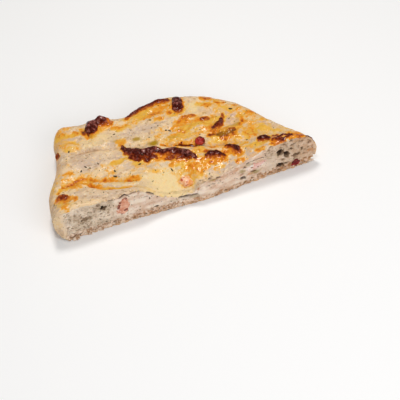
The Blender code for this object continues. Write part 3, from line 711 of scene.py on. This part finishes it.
def knifeForm(x, z):
    # the cut without its crumb: bowed, with a soft upper lip and left corner, and gaps
    flat = onFace(x, z)
    lip = lipOf(x) * (1 + 0.3 * ripple(flat, 9, 60))
    near = np.clip(1 - underEdge(x, z) / lip, 0, 1)
    y = bowOf(x) + lip * (1 - np.sqrt(1 - near ** 2))
    y += cut["cornerBack"] * fade(x, *cut["corner"]) ** 2
    for half, depth, *line in cut["cracks"]:
        away = lineDistance(x, z, line) + 0.25 * ripple(flat, 2, 58)
        y += depth * np.exp(-((away / half) ** 2))
    return y


def crumbSurface(x, z):
    airy = crumbShare(x, z) * ease(x, 3, 9)
    rough = ripples(onFace(x, z), ((0.26, 3.4, 61), (0.24, 1.7, 62), (0.12, 0.9, 63)))
    low, right = fade(z, 2, 6), ease(x, 165, 185)
    y = knifeForm(x, z) + rough * (0.35 + 0.65 * airy + 0.8 * low + 0.6 * right)
    return y + pitDepth(x, z, crumbPits()) * (0.25 + 0.75 * airy)


def cheeseSurface(x, z):
    # dragged along by the knife, so its marks are long
    flat = onFace(x, z)
    y = knifeForm(x, z) - 0.05 + 0.28 * ripple(streaked(flat), 2.6, 64) + 0.16 * ripple(flat, 2, 65)
    return y + pitDepth(x, z, cheesePits())


def meatSurface(x, z):
    flat = onFace(x, z)
    return bowOf(x) - 0.25 + 0.35 * ripple(flat, 3, 66) + 0.15 * ripple(flat, 1.2, 67)


# The cutting block: its near face is the surface that the knife leaves
def knifeBlock(surface, step):
    wide, tall = cut["right"] - cut["left"], cut["high"] - cut["low"]
    work = bmesh.new()
    bmesh.ops.create_grid(work, x_segments=int(wide / step), y_segments=int(tall / step), size=0.5)
    places = np.array([vert.co for vert in work.verts]) + 0.5
    x, z = cut["left"] + places[:, 0] * wide, cut["low"] + places[:, 1] * tall
    for vert, place in zip(work.verts, np.column_stack([x, surface(x, z), z])):
        vert.co = Vector(place)
    rim = [edge for edge in work.edges if edge.is_boundary]
    for item in bmesh.ops.extrude_edge_only(work, edges=rim)["geom"]:
        if isinstance(item, bmesh.types.BMVert):
            item.co.y = cut["back"]
    bmesh.ops.contextual_create(work, geom=[edge for edge in work.edges if edge.is_boundary])
    bmesh.ops.recalc_face_normals(work, faces=work.faces)
    return objectFrom("knife", work)


# Where the melted filling reaches inside, and its heights
filling = {
    "outline": (
        (46, -24), (43, 12), (36, 45), (42, 72), (64, 79), (108, 80), (134, 70), (154, 44), (166, 12),
        (168, -24),
    ),
    "edgeRadius": 2, "roughVoxel": 1.4, "voxel": 0.95,
    "bottomDough": 5.8, "crust": 3.8, "deep": 8.5, "thinnest": 3, "endDrop": 5,
    "leftEnd": (40, 62), "rightEnd": (148, 168), "fall": (8, 30),
    "wave": 0.5, "waveLength": 7, "openingEdge": (0.94, 1.06), "poolRise": 0.25,
    "overlap": 0.12, "pocketTriangles": 14000,
}


def makeFilling():
    body = roundedSlab("filling", filling["outline"], loaf["thickness"], filling["edgeRadius"])
    points = remeshed(body, filling["roughVoxel"])[0]
    x, y, z = points.T
    low = filling["bottomDough"] + filling["wave"] * np.sin(x / filling["waveLength"])
    ends = ease(x, *filling["leftEnd"]) * fade(x, *filling["rightEnd"])
    under = np.minimum(edgeHeight(x), loaf["thickness"]) - filling["crust"]
    under -= filling["endDrop"] * (1 - ends)
    deep = low + filling["deep"]
    top = np.maximum(under + (deep - under) * ease(y, *filling["fall"]), low + filling["thinnest"])
    reach = openingReach(x, y)
    pool = loafTop(x, y) + coarseRelief(x, y) + filling["poolRise"] * (1 - np.minimum(reach, 1) ** 4)
    top += (pool - top) * fade(reach, *filling["openingEdge"])
    points[:, 2] = low + (top - low) * z / loaf["thickness"]
    movePoints(body.data, points)
    points, normals = remeshed(body, filling["voxel"], 2)
    x, y, z = points.T
    upward = ease(normals[:, 2], 0.4, 0.8) * fade(openingReach(x, y), 1, 1.15)
    points[:, 2] += fineRelief(x, y) * upward
    movePoints(body.data, points)
    print("filling:", len(body.data.polygons), "faces")
    return body


meats = {
    "bacon_top": {"centre": (122.2, 32.6, 25.6), "half": (3.9, 3.5, 3.2), "turn": 0, "lumps": 0.16,
                  "slot": "bacon", "look": "bacon"},
    "ham_top": {"centre": (102.4, 7.8, 14.6), "half": (6.8, 6.2, 3.7), "turn": 14, "lumps": 0.26,
                "slot": "ham", "look": "hamBaked"},
    "ham_chunk": {"centre": (50.2, 1, 15.8), "half": (4.8, 6.5, 7), "turn": 20, "lumps": 0.36,
                  "slot": "ham", "look": "hamCut"},
    "ham_slice": {"centre": (154, 3, 15), "half": (8.6, 9, 2.7), "turn": -10, "lumps": 0.36,
                  "slot": "ham", "look": "hamPale"},
    "bacon_base": {"centre": (185.4, 1.6, 4.3), "half": (3.4, 4, 3), "turn": -25, "lumps": 0.36,
                   "slot": "bacon", "look": "bacon"},
}


def shrunkCopy(obj):
    # a pocket a little smaller than what fills it, so that no gap shows
    copy = newObject(obj.name + "Pocket", obj.data.copy())
    return modified(copy, "DISPLACE", mid_level=0, strength=-filling["overlap"])


def carve(obj, tools):
    group = bpy.data.collections.new("tools")
    for tool in tools:
        group.objects.link(tool)
    modified(obj, "BOOLEAN", operation="DIFFERENCE", solver="MANIFOLD", operand_type="COLLECTION",
             collection=group)
    bpy.data.collections.remove(group)
    print("cut:", obj.name, "has", len(obj.data.polygons), "faces")


def largestPiece(obj):
    # Booleans can leave loose scraps: only the main body stays
    work = bmesh.new()
    work.from_mesh(obj.data)
    left = set(work.verts)
    pieces = []
    while left:
        stack = [left.pop()]
        pieces.append(set(stack))
        while stack:
            for edge in stack.pop().link_edges:
                for vert in left.intersection(edge.verts):
                    left.remove(vert)
                    pieces[-1].add(vert)
                    stack.append(vert)
    pieces.sort(key=len)
    bmesh.ops.delete(work, geom=[vert for piece in pieces[:-1] for vert in piece], context="VERTS")
    work.to_mesh(obj.data)
    work.free()


bread = makeLoaf()
loafSkin = treeOf(bread)
fillingPiece = makeFilling()
meatPieces = {
    name: lump(name, meat["centre"], meat["half"], 5, meat["lumps"], 0.4 * meat["lumps"], meat["turn"])
    for name, meat in meats.items()
}
pockets = [shrunkCopy(obj) for obj in meatPieces.values()]
holes = [
    lump("bubble", (x, bowOf(x) + 0.1, z), (wide, deep, tall), 4, 0.5, 0.14)
    for x, z, wide, tall, deep in cut["bubbles"]
]
fillingPocket = shrunkCopy(fillingPiece)
triangles = sum(len(face.vertices) - 2 for face in fillingPocket.data.polygons)
fewer = min(1, filling["pocketTriangles"] / triangles)
modified(fillingPocket, "DECIMATE", ratio=fewer, use_collapse_triangulate=True)
crumbKnife = knifeBlock(crumbSurface, cut["crumbStep"])
cheeseKnife = knifeBlock(cheeseSurface, cut["cheeseStep"])
meatKnife = knifeBlock(meatSurface, cut["meatStep"])
carve(bread, [fillingPocket, crumbKnife, *pockets, *holes])
carve(fillingPiece, [cheeseKnife, *pockets, *holes])
for obj in meatPieces.values():
    carve(obj, [meatKnife])
for obj in [fillingPocket, crumbKnife, cheeseKnife, meatKnife, *pockets, *holes]:
    remove(obj)
largestPiece(bread)
largestPiece(fillingPiece)


def linear(text):
    # an sRGB hex colour as linear red, green, blue and 1
    values = [int(text[i:i + 2], 16) / 255 for i in (1, 3, 5)]
    return (*[v / 12.92 if v <= 0.04045 else ((v + 0.055) / 1.055) ** 2.4 for v in values], 1)


def addNode(tree, kind, *inputs, output=None, **values):
    # inputs in the order in which the node shows them, settings and other inputs by name;
    # a socket is linked and a text is a colour
    node = tree.nodes.new("ShaderNode" + kind)
    for name in [name for name in values if hasattr(node, name)]:
        setattr(node, name, values.pop(name))
    sockets = [socket for socket in node.inputs if socket.enabled][:len(inputs)]
    sockets += [node.inputs[name] for name in values]
    for socket, value in zip(sockets, [*inputs, *values.values()]):
        if isinstance(value, bpy.types.NodeSocket):
            tree.links.new(value, socket)
        else:
            socket.default_value = linear(value) if isinstance(value, str) else value
    if output:
        return node.outputs[output]
    return next((socket for socket in node.outputs if socket.enabled), None)


def newMaterial(name, patterns=(), masks=()):
    # a material, its tree, and its fields by name: noise patterns from rows of name, size
    # of the features in mm, detail, roughness and squeeze along the loaf, and point masks
    made = bpy.data.materials.new(name)
    made.use_nodes = True
    tree = made.node_tree
    tree.nodes.clear()
    fields = {name: addNode(tree, "Attribute", attribute_name=name, output="Fac") for name in masks}
    for field, size, detail, rough, squeeze in patterns:
        place = addNode(tree, "TexCoord", output="Object")
        if squeeze < 1:
            place = addNode(tree, "Mapping", place, Scale=(squeeze, 1, 1))
        fields[field] = addNode(tree, "TexNoise", place, 0.5 / (size * mm), detail, rough)
    return made, tree, fields


def shareOf(tree, fields, *factors):
    # the product of some fields, each by its name alone or taken from one range to another
    share = 1
    for name, *ranges in factors:
        part = addNode(tree, "MapRange", fields[name], *ranges) if ranges else fields[name]
        share = part if share == 1 else addNode(tree, "Math", share, part, operation="MULTIPLY")
    return share


def layered(tree, fields, colour, layers):
    # colours laid one over another, each by its share; a field can be a colour too
    for over, *factors in layers:
        share = shareOf(tree, fields, *factors)
        colour = addNode(tree, "Mix", share, colour, fields.get(over, over), data_type="RGBA")
    return colour


def joinFields(tree, fields, steps):
    # each step names a new field: one product of fields joined to another
    for name, operation, first, second in steps:
        sides = shareOf(tree, fields, *first), shareOf(tree, fields, *second)
        fields[name] = addNode(tree, "Math", *sides, operation=operation)


def finishMaterial(tree, colour, shine, relief=None, **inputs):
    if relief:
        strength, depth, height = relief
        inputs["Normal"] = addNode(tree, "Bump", strength, depth * mm, Height=height)
    inputs["Base Color"] = colour
    addNode(tree, "OutputMaterial", addNode(tree, "BsdfPrincipled", **shine, **inputs))


crustLook = {
    "patterns": (
        ("broad", 4.4, 4, 0.6, 0.45), ("small", 1.9, 4, 0.6, 1), ("tiny", 0.9, 2, 0.5, 1),
        ("freckled", 1.3, 2, 0.5, 1), ("fatty", 5, 3, 0.5, 0.45), ("bubbled", 1.5, 2, 0.5, 1),
        ("patchy", 3.4, 2, 0.5, 1),
    ),
    "masks": ("browning", "baked", "creamy", "yellow", "green", "grey", "seam"),
    "dough": "#e9cba1",
    # colour, then the fields that lay it on: name, from low, to high, least, most
    "layers": (
        ("#cfb395", ("broad", 0.42, 0.58)),
        ("#cbb6aa", ("grey",)),
        ("#b08a66", ("freckled", 0.57, 0.66, 0, 0.7)),
        ("#f3e2cb", ("small", 0.54, 0.64, 0, 0.75)),            # pale flecks on the dough, painted small highlights
        ("#d6a26c", ("baked",), ("small", 0.3, 0.6, 0.5, 1)),
        ("#ead09a", ("creamy",), ("small", 0.25, 0.55, 0.7, 1)),
        # painted shade: a brown line along the bottoms of the sharp folds
        ("#a8733f", ("seam",), ("broad", 0.35, 0.6, 0.2, 0.75)),
        ("browned", ("varied", 0.02, 0.25)),
        ("#e4b142", ("fat",), ("varied", 0.32, 0.5, 0.85, 0)),  # egg-yellow cheese fat
        ("#a8830f", ("green",)),
        # painted reflection: the tiny bubbles of burnt cheese get a dull pinkish grey that stands in for
        # the sky they reflect
        ("#c4786a", ("bubbled", 0.52, 0.64), ("browning", 0.74, 0.95, 0, 0.55)),
    ),
    "browning": (
        (0, "#ebcb98"), (0.1, "#edc077"), (0.19, "#eaad4a"), (0.29, "#e39727"), (0.4, "#e08710"),
        (0.49, "#c96c0c"), (0.58, "#a9500b"), (0.67, "#8a350a"), (0.77, "#6c2008"), (0.86, "#4e1207"),
        (0.94, "#400e08"), (1, "#5a1e14"),
    ),
    "lumps": 2.2,           # mm across, on burnt cheese
    # new fields: name, how two products of fields are joined, and those fields
    "varying": (
        ("uneven", "ADD", (("browning",),), (("small", 0.2, 0.8, -0.16, 0.16),)),
        ("varied", "ADD", (("uneven",),), (("tiny", 0.2, 0.8, -0.13, 0.13),)),
        # fat between the browned spots, and where it was brushed on
        ("fat", "MAXIMUM", (("fatty", 0.51, 0.6), ("browning", 0.05, 0.18)),
         (("yellow",), ("small", 0.34, 0.58, 0.25, 1))),
        # burnt cheese is dull between its bubbles, rough and lumpy
        ("dull", "MULTIPLY", (("browning", 0.45, 0.75),), (("bubbled", 0.52, 0.64, 0.9, 0),)),
        ("greasy", "MULTIPLY", (("browning", 0.06, 0.5, 0.1, 0.8), ("patchy", 0.38, 0.58, 0.35, 1)),
         (("dull", 0, 1, 1, 0),)),
        ("grainy", "ADD", (("small",),), (("tiny", 0, 1, 0, 1.2),)),
        ("height", "SUBTRACT", (("grainy",),), (("browning", 0.45, 0.75, 0, 2.8), ("lumpy",))),
        ("rough", "SUBTRACT", (("small", 0.3, 0.7, 0.52, 0.38),), (("browning", 0.45, 0.75, 0, 0.2),)),
    ),
    "shine": {
        "IOR": 1.45, "Specular IOR Level": 0.10, "Coat Roughness": 0.10, "Coat IOR": 1.47,
        "Subsurface Weight": 0.10, "Subsurface Radius": (1, 0.5, 0.25), "Subsurface Scale": 0.0015,
    },
}


# Wheat dough baked under a skin of melted cheese: matt and pale between the browned
# spots, with a film of fat on the golden ones that catches small lights
def crustMaterial():
    material, tree, fields = newMaterial("wheatDoughBaked", crustLook["patterns"], crustLook["masks"])
    place = addNode(tree, "TexCoord", output="Object")
    fineness = 1 / (crustLook["lumps"] * mm)
    lumps = {"feature": "SMOOTH_F1", "Scale": fineness, "Smoothness": 0.4}
    fields["lumpy"] = addNode(tree, "TexVoronoi", place, **lumps)
    joinFields(tree, fields, crustLook["varying"])
    fields["browned"] = addNode(tree, "ValToRGB", fields["varied"])
    stops = fields["browned"].node.color_ramp.elements
    while len(stops) < len(crustLook["browning"]):
        stops.new(0.5)
    for stop, (place, colour) in zip(stops, crustLook["browning"]):
        stop.position = place
        stop.color = linear(colour)
    colour = layered(tree, fields, crustLook["dough"], crustLook["layers"])
    finishMaterial(tree, colour, crustLook["shine"], (1, 0.7, fields["height"]),
                   **{"Roughness": fields["rough"], "Coat Weight": fields["greasy"]})
    return material


cutLook = {
    "patterns": (
        ("broad", 4, 3, 0.5, 1), ("small", 1.5, 3, 0.6, 1), ("drawn", 2.4, 4, 0.6, 0.35),
        ("speckled", 1.1, 1, 0.5, 1), ("grainy", 0.8, 2, 0.5, 1),
    ),
    "masks": ("cheeseShare", "bottomDough", "rim", "toast", "olive", "pit", "gap"),
    "crumb": "#e4d1bb", "cheese": "#ead7c3", "bottom": "#ebd3bc",
    "cheeseLayers": (("#d0ae94", ("drawn", 0.44, 0.62)), ("#b98c6c", ("small", 0.6, 0.72, 0, 0.8))),
    "bottomLayers": (("#ab8260", ("small", 0.44, 0.6)),),
    "layers": (
        ("#c8b299", ("broad", 0.38, 0.62)),
        ("cheese", ("cheeseShare",)),
        ("bottom", ("bottomDough",)),
        ("#e2c7a6", ("rim",)),
        ("#bd7c40", ("toast",), ("small", 0.35, 0.6, 0.5, 1)),
        ("#8f7a3c", ("olive",)),
        # painted shade in the pits of the crumb
        ("#86694b", ("pit",)),
        # painted shade: near black in the cracks and open bubbles
        ("#30190a", ("gap",)),
        ("#5a4430", ("speckled", 0.69, 0.74, 0, 0.7)),
    ),
    "crumbShine": {
        "Roughness": 0.82, "IOR": 1.42,
        "Subsurface Weight": 0.15, "Subsurface Radius": (1, 0.65, 0.4), "Subsurface Scale": 0.0012,
    },
    "cheeseShine": {
        "Roughness": 0.48, "IOR": 1.42, "Coat Weight": 0.15, "Coat Roughness": 0.2,
        "Subsurface Weight": 0.28, "Subsurface Radius": (1, 0.65, 0.4), "Subsurface Scale": 0.002,
    },
}


# What the knife laid open. Wheat crumb is dry, matt and full of small holes; the melted
# cheese between is smooth and a little waxy. Both run into each other, so one tree
# colours them by the share of cheese.
def cutMaterial(name, shine):
    material, tree, fields = newMaterial(name, cutLook["patterns"], cutLook["masks"])
    for part in ("cheese", "bottom"):
        fields[part] = layered(tree, fields, cutLook[part], cutLook[part + "Layers"])
    colour = layered(tree, fields, cutLook["crumb"], cutLook["layers"])
    joinFields(tree, fields, (("height", "ADD", (("small",),), (("grainy",),)),))
    finishMaterial(tree, colour, shine, (0.6, 0.4, fields["height"]))
    return material


meatLook = {
    "patterns": (("streaky", 2.4, 4, 0.6, 1), ("fatty", 3, 2, 0.5, 1), ("edged", 1.5, 2, 0.5, 1)),
    "film": "#ead09a",
    "shine": {
        "IOR": 1.45, "Specular IOR Level": 0.2, "Coat Weight": 0.25, "Coat Roughness": 0.1,
        "Subsurface Weight": 0.25, "Subsurface Radius": (1, 0.35, 0.2), "Subsurface Scale": 0.0015,
    },
    # name, light and dark meat, fat, edge, roughness
    "kinds": {
        "hamBaked": ("porkHamBaked", "#eea685", "#e2924a", "#f3c9a4", "#c0562c", 0.36),
        "hamCut": ("porkHamCooked", "#e6b094", "#c57a58", "#efdac8", "#74301f", 0.42),
        "hamPale": ("porkHamSliced", "#eac6b8", "#d69c8c", "#efe0d2", "#a8705c", 0.44),
        "bacon": ("porkBaconRoasted", "#a3140e", "#5a0a06", "#b8382a", "#380503", 0.25),
    },
}


# Cured pork: moist and glossy, streaked along the grain
def meatMaterial(name, light, dark, fat, edge, rough):
    material, tree, fields = newMaterial(name, meatLook["patterns"], ("film",))
    colour = layered(tree, fields, light, (
        (dark, ("streaky", 0.36, 0.6)), (fat, ("fatty", 0.54, 0.62)), (edge, ("edged", 0.56, 0.66)),
        (meatLook["film"], ("film",)),
    ))
    finishMaterial(tree, colour, meatLook["shine"], (0.5, 0.4, fields["streaky"]), Roughness=rough)
    return material


def facesMarked(mesh, marked, least):
    # which faces have more than that share of their points marked
    loops = np.empty(len(mesh.loops), np.int32)
    mesh.loops.foreach_get("vertex_index", loops)
    starts = np.empty(len(mesh.polygons), np.int32)
    mesh.polygons.foreach_get("loop_start", starts)
    counts = np.diff(np.append(starts, len(loops)))
    return np.add.reduceat(marked.astype(float)[loops], starts) / counts > least


def dress(mesh, materials, second=None, sharpOver=None):
    mesh.materials.clear()
    for material in materials:
        mesh.materials.append(material)
    if second is not None:
        mesh.polygons.foreach_set("material_index", second.astype(np.int32))
    mesh.shade_smooth()
    if sharpOver:
        mesh.set_sharp_from_angle(angle=math.radians(sharpOver))


def topMasks(mesh, points):
    # shared by the bread and the cheese in its opening, so that their colours meet
    x, y, z = points.T
    share = z / np.maximum(loafTop(x, y), 8)
    high = ease(share, 0.35, 0.75)
    keep(mesh, "browning", browningAt(points) * high)
    for name in ("creamy", "yellow", "green", "grey"):
        keep(mesh, name, washAt(points, name) * high)
    # painted shade along the bottoms of the sharp folds
    keep(mesh, "seam", creaseShadeAt(x, y, points * np.array([1, 1, 0])) * high)
    side = fade(share, 0.55, 0.86)
    side *= 1 - 0.8 * fade(x, 4, 14) * fade(y, 8, 24)
    under = fade(z, 0, 1.5)
    keep(mesh, "baked", np.clip(washAt(points, "baked") + 0.55 * side + 0.6 * under, 0, 1))


def cutMasks(mesh, points, rim):
    x, y, z = points.T
    flat = onFace(x, z)
    wander = ripple(flat, 6, 74) * 4 + ripple(flat, 2.5, 75) * 2
    share = ease(x + wander, 38, 50) * fade(x + wander, 152, 172)
    share *= ease(z - doughEdge(x) + 0.2 * wander, -0.6, 1.2)
    keep(mesh, "cheeseShare", share)
    keep(mesh, "bottomDough", fade(z - doughEdge(x) + 0.8 * ripple(flat, 3, 71), -1.2, 0.8))
    keep(mesh, "rim", np.maximum(rim, fade(x + 1.5 * ripple(flat, 4, 76), 3, 9)))
    # painted shade: the crumb is darker in its pits the deeper they open, and a little darker over the open
    # crumb at the right end
    opened = y - knifeForm(x, z)
    onCut = y < cut["faceDepth"]
    pit = ease(opened, 0.3, 1.5) * (1 - 0.3 * share)
    keep(mesh, "pit", np.maximum(0.85 * pit, 0.10 * ease(x, 158, 172)) * onCut)
    ragged = 0.3 * ripple(flat, 2.6, 82)
    allOver = 0.28 * ease(x, 156, 176) + 0.22 * ease(x, 184, 198)
    keep(mesh, "toast", np.maximum(allOver, patchesAt(x, z, cut["toasted"], ragged, 0.3, 1.2)))
    keep(mesh, "olive", patchesAt(x, z, cut["olive"], ragged, 0.3, 1.2))
    # painted shade: cracks and the deeper open bubbles are coloured near black, as their insides lie in
    # shade
    crack = sum(np.exp(-((lineDistance(x, z, line) / half) ** 2)) for half, depth, *line in cut["cracks"])
    crack = np.clip(1.15 * crack, 0, 1) * ease(y - bowOf(x), 0.4, 1.6)
    hollows = [(*place, ease(deep, 1.2, 3.2)) for *place, deep in cut["bubbles"]]
    hollow = 0.95 * patchesAt(x, z, hollows, 0, 0.55, 1.05) * ease(opened, 0.4, 1.6)
    keep(mesh, "gap", np.clip(crack + hollow, 0, 1) * onCut)


def dressBread():
    mesh = bread.data
    points = vectorsOf(mesh.vertices)
    x, y, z = points.T
    depth = np.array([loafSkin.find_nearest(Vector(point))[3] for point in points])
    topMasks(mesh, points)
    cutMasks(mesh, points, fade(depth + 0.3 * ripple(points, 1.6, 72), 0.5, 1.5))
    rolled = (z > cut["rollLowest"]) & (underEdge(x, z) < 0.72 * lipOf(x) + 0.4 * ripple(points, 3, 79))
    rolled = (rolled | (x < 4.5 + 1.5 * ripple(points, 4, 80))) & (y < cut["rollDepth"])
    inside = (depth + 0.2 * ripple(points, 2.2, 77) > 0.42) & ~rolled
    materials = [crustMaterial(), cutMaterial("wheatCrumbCut", cutLook["crumbShine"])]
    dress(mesh, materials, facesMarked(mesh, inside, 0.6), 70)


def dressFilling():
    mesh = fillingPiece.data
    points = vectorsOf(mesh.vertices)
    x, y, z = points.T
    topMasks(mesh, points)
    cutMasks(mesh, points, np.zeros(len(points)))
    onTop = (loafTop(x, y) - z + 0.4 * ripple(points, 3, 78) < 1.9) & (openingReach(x, y) < 1.2)
    materials = [cutMaterial("hardCheeseMelted", cutLook["cheeseShine"]), bread.data.materials[0]]
    dress(mesh, materials, facesMarked(mesh, onTop, 0.5), 70)


dressBread()
dressFilling()
meatMaterials = {kind: meatMaterial(*look) for kind, look in meatLook["kinds"].items()}
for name, obj in meatPieces.items():
    # melted cheese creeps up the pieces that lie on top
    points = vectorsOf(obj.data.vertices)
    x, y, z = points.T
    above = z - loafTop(x, y) - coarseRelief(x, y)
    film = fade(above + 0.8 * ripple(points, 2.4, 81), -0.7, 1.6)
    keep(obj.data, "film", film * 0.9 * name.endswith("_top"))
    dress(obj.data, [meatMaterials[meats[name]["look"]]], None, 75)
print("surfaces dressed")

herbs = {
    "placed": (
        (27.3, 67.1), (44.7, 42.7), (35, 44.6), (37.7, 41.8), (30.8, 41.9), (54.2, 30.5), (53, 25.3),
        (64.5, 69.9), (61.8, 68), (42.7, 82.6), (94.3, 71.2), (92.9, 62.4), (98, 62.3), (102.2, 55.4),
        (104.9, 54.5), (155.7, 57.3), (154.7, 18.7), (93.8, 15.7), (118.3, 1), (3.6, 14.1),
        (77.6, 35.3), (73.3, 29),
    ),
    "scattered": 170, "smallest": 0.20, "largest": 0.62, "along": (0, 202), "across": (2, 98),
    "lowest": 9, "burntOver": 0.45,                         # none lower, or on browner cheese
    "onCut": 80, "smallestOnCut": 0.28, "spreadOnCut": 0.5,
    "alongCut": (2, 200), "upCut": (0.6, 26), "deepest": 6,
    "patterns": (("tinted", 5, 1, 0.5, 1),),
    "dark": "#41351c", "light": "#84734a", "shine": {"IOR": 1.40, "Roughness": 0.7},
}


# Dried herb: dark, curled scraps of leaf
def herbMaterial():
    material, tree, fields = newMaterial("herbLeafDried", herbs["patterns"])
    colour = layered(tree, fields, herbs["dark"], ((herbs["light"], ("tinted", 0.42, 0.64)),))
    finishMaterial(tree, colour, herbs["shine"])
    return material


def addScrap(work, random, hit, half):
    place, normal = hit
    made = bmesh.ops.create_icosphere(work, subdivisions=1, radius=1)["verts"]
    shape = np.array([half * random.uniform(1.1, 1.9), half * random.uniform(0.5, 0.8), 0.14 + 0.12 * half])
    bend = random.uniform(-0.35, 0.35)
    for vert in made:
        vert.co = Vector(np.array(vert.co) * shape * random.uniform(0.8, 1.2, 3))
        vert.co.z += bend * vert.co.x ** 2 / max(half, 0.3)
    lie = normal.to_track_quat("Z", "Y").to_matrix().to_4x4()
    lie = lie @ Matrix.Rotation(random.uniform(0, math.tau), 4, "Z")
    bmesh.ops.transform(work, matrix=Matrix.Translation(place + normal * 0.08) @ lie, verts=made)


def firstHit(trees, start, way):
    hits = [tree.ray_cast(start, way) for tree in trees]
    hits = [hit for hit in hits if hit[0]]
    return min(hits, key=lambda hit: hit[3])[:2] if hits else None


def makeHerbs():
    random = np.random.default_rng(9)
    trees = [treeOf(bread), treeOf(fillingPiece)]
    spots = [(x, y, random.uniform(0.7, 1.15)) for x, y in herbs["placed"]]
    while len(spots) < herbs["scattered"] + len(herbs["placed"]):
        x, y = random.uniform(*herbs["along"]), random.uniform(*herbs["across"])
        half = herbs["smallest"] + (herbs["largest"] - herbs["smallest"]) * random.uniform() ** 2.5
        hit = firstHit(trees[:1], Vector((x, y, overhead)), down)
        burnt = browningAt(np.array([[x, y, loaf["thickness"]]]))[0] > herbs["burntOver"]
        if hit and hit[0].z > herbs["lowest"] and not burnt:
            spots.append((x, y, half))
    work = bmesh.new()
    for x, y, half in spots:
        hit = firstHit(trees, Vector((x, y, overhead)), down)
        if hit:
            addScrap(work, random, hit, half)
    for index in range(herbs["onCut"]):
        x, z = random.uniform(*herbs["alongCut"]), random.uniform(*herbs["upCut"])
        half = herbs["smallestOnCut"] + herbs["spreadOnCut"] * random.uniform() ** 2.5
        hit = firstHit(trees, Vector((x, inFront, z)), inward)
        if hit and hit[0].y < herbs["deepest"]:
            addScrap(work, random, hit, half)
    made = objectFrom("herb_flakes", work)
    dress(made.data, [herbMaterial()])
    return made


crumbs = {
    "count": 380, "smallest": 0.25, "largest": 0.8,
    "along": (7, 200), "lowest": 0.3, "spread": 3.6, "offCut": (-0.2, 0.5),
    "inClump": 14, "clumps": ((10.6, 2.2), (22.6, 1.3), (31, 1)),   # x, half width
}


# Baked dough crumbled by the knife, dusted with the flour of the tray
def makeCrumbs():
    random = np.random.default_rng(19)
    work = bmesh.new()
    for index in range(crumbs["count"]):
        x = random.uniform(*crumbs["along"])
        z = crumbs["lowest"] + crumbs["spread"] * random.uniform() ** 2
        half = crumbs["smallest"] + (crumbs["largest"] - crumbs["smallest"]) * random.uniform() ** 3
        z = max(z, half * 0.7)
        place = Vector((x, bowOf(x) + random.uniform(*crumbs["offCut"]), z))
        shape = (half * random.uniform(0.9, 1.5), half, half * random.uniform(0.6, 0.9))
        addLump(work, place, shape, 2, ((0.45, 1.8),), (x, index, z))
    for x, half in crumbs["clumps"]:
        for index in range(crumbs["inClump"]):
            size = half * random.uniform(0.3, 0.6)
            place = Vector((x + random.normal(0, half * 0.7), bowOf(x) - random.uniform(0, half), 0))
            place.z = max(size * 0.8, random.uniform(0.3, half * 0.8))
            addLump(work, place, (size, size, size), 3, ((0.4, 1.4 * size),), place)
    for vert in work.verts:
        vert.co.z = max(vert.co.z, 0)
    made = objectFrom("rim_crumbs", work)
    for name in cutLook["masks"]:
        keep(made.data, name, np.full(len(made.data.vertices), float(name == "bottomDough")))
    dress(made.data, [bread.data.materials[1]])
    return made


placed = [
    (bread, "baked_dough", "dough", ["bread"]),
    (fillingPiece, "melted_filling", "cheese", ["filling"]),
    (makeHerbs(), "herb_flakes", "dough", []),
    (makeCrumbs(), "rim_crumbs", "dough", []),
    *[(obj, name + "_piece", meats[name]["slot"], [name]) for name, obj in meatPieces.items()],
]
print("herbs and crumbs made")
for obj, name, slot, nodes in placed:
    obj.name = name
    obj.data.transform(Matrix.Translation(planOrigin) @ Matrix.Scale(mm, 4))
    obj.data.update()
    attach(obj, "root")
    if nodes:
        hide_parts(*nodes)

# The photograph's view: what the middle of its frame looks at, on the plan, and how far
# off, with the directions to the camera and to the picture's right
shot = {
    "aim": (107.335, -1.49, 0), "distance": 800, "focalPixels": 1073.83, "framePixels": 400,
    "toCamera": (-0.1501, -0.6926, 0.7056), "right": (0.9399, -0.3213, -0.1154),
}


def makeCamera():
    back = Vector(shot["toCamera"]).normalized()
    right = Vector(shot["right"])
    right = (right - back * right.dot(back)).normalized()
    turn = Matrix((right, back.cross(right), back)).transposed().to_4x4()
    data = bpy.data.cameras.new("camera")
    data.sensor_width = 36
    data.lens = data.sensor_width * shot["focalPixels"] / shot["framePixels"]
    data.clip_start = 0.05
    camera = newObject("camera", data)
    place = planOrigin + Vector(shot["aim"]) * mm + back * shot["distance"] * mm
    camera.matrix_world = Matrix.Translation(place) @ turn
    bpy.context.scene.camera = camera


studio = {
    "floor": "#f7f8f9", "floorHalf": 3, "floorDrop": 0.0002, "sky": "#fbfaf8", "skyStrength": 0.31,
    "lightsAim": (0, 0, 0.01),
    "lights": {             # place, width and depth, watts, colour
        "key": ((0.10, 0.30, 1.05), 0.26, 0.26, 5.1, "#fffaf4"),
        "fill": ((0.25, -1, 0.55), 0.9, 0.6, 5.2, "#fdfdff"),
        "glint": ((-0.05, -0.32, 1), 0.13, 0.13, 1.9, "#ffffff"),
    },
}


# A sheet of matt paper card: even and white, without a shine of its own
def makeStudio():
    material, tree, fields = newMaterial("paperCardMatt")
    finishMaterial(tree, studio["floor"], {"Roughness": 0.9})
    work = bmesh.new()
    bmesh.ops.create_grid(work, x_segments=1, y_segments=1, size=studio["floorHalf"])
    floor = objectFrom("floor", work)
    floor.location.z = -studio["floorDrop"]
    floor.data.materials.append(material)
    world = bpy.data.worlds.new("studio")
    world.use_nodes = True
    sky = world.node_tree.nodes["Background"].inputs
    sky["Color"].default_value = linear(studio["sky"])
    sky["Strength"].default_value = studio["skyStrength"]
    bpy.context.scene.world = world
    for name, (place, width, depth, watts, colour) in studio["lights"].items():
        data = bpy.data.lights.new(name, "AREA")
        data.shape = "RECTANGLE"
        data.size, data.size_y = width, depth
        data.energy = watts
        data.color = linear(colour)[:3]
        light = newObject(name, data)
        light.location = Vector(place)
        way = Vector(studio["lightsAim"]) - light.location
        light.rotation_euler = way.to_track_quat("-Z", "Y").to_euler()
    bpy.context.scene.view_settings.view_transform = "Standard"


makeCamera()
makeStudio()
print("camera and studio set")
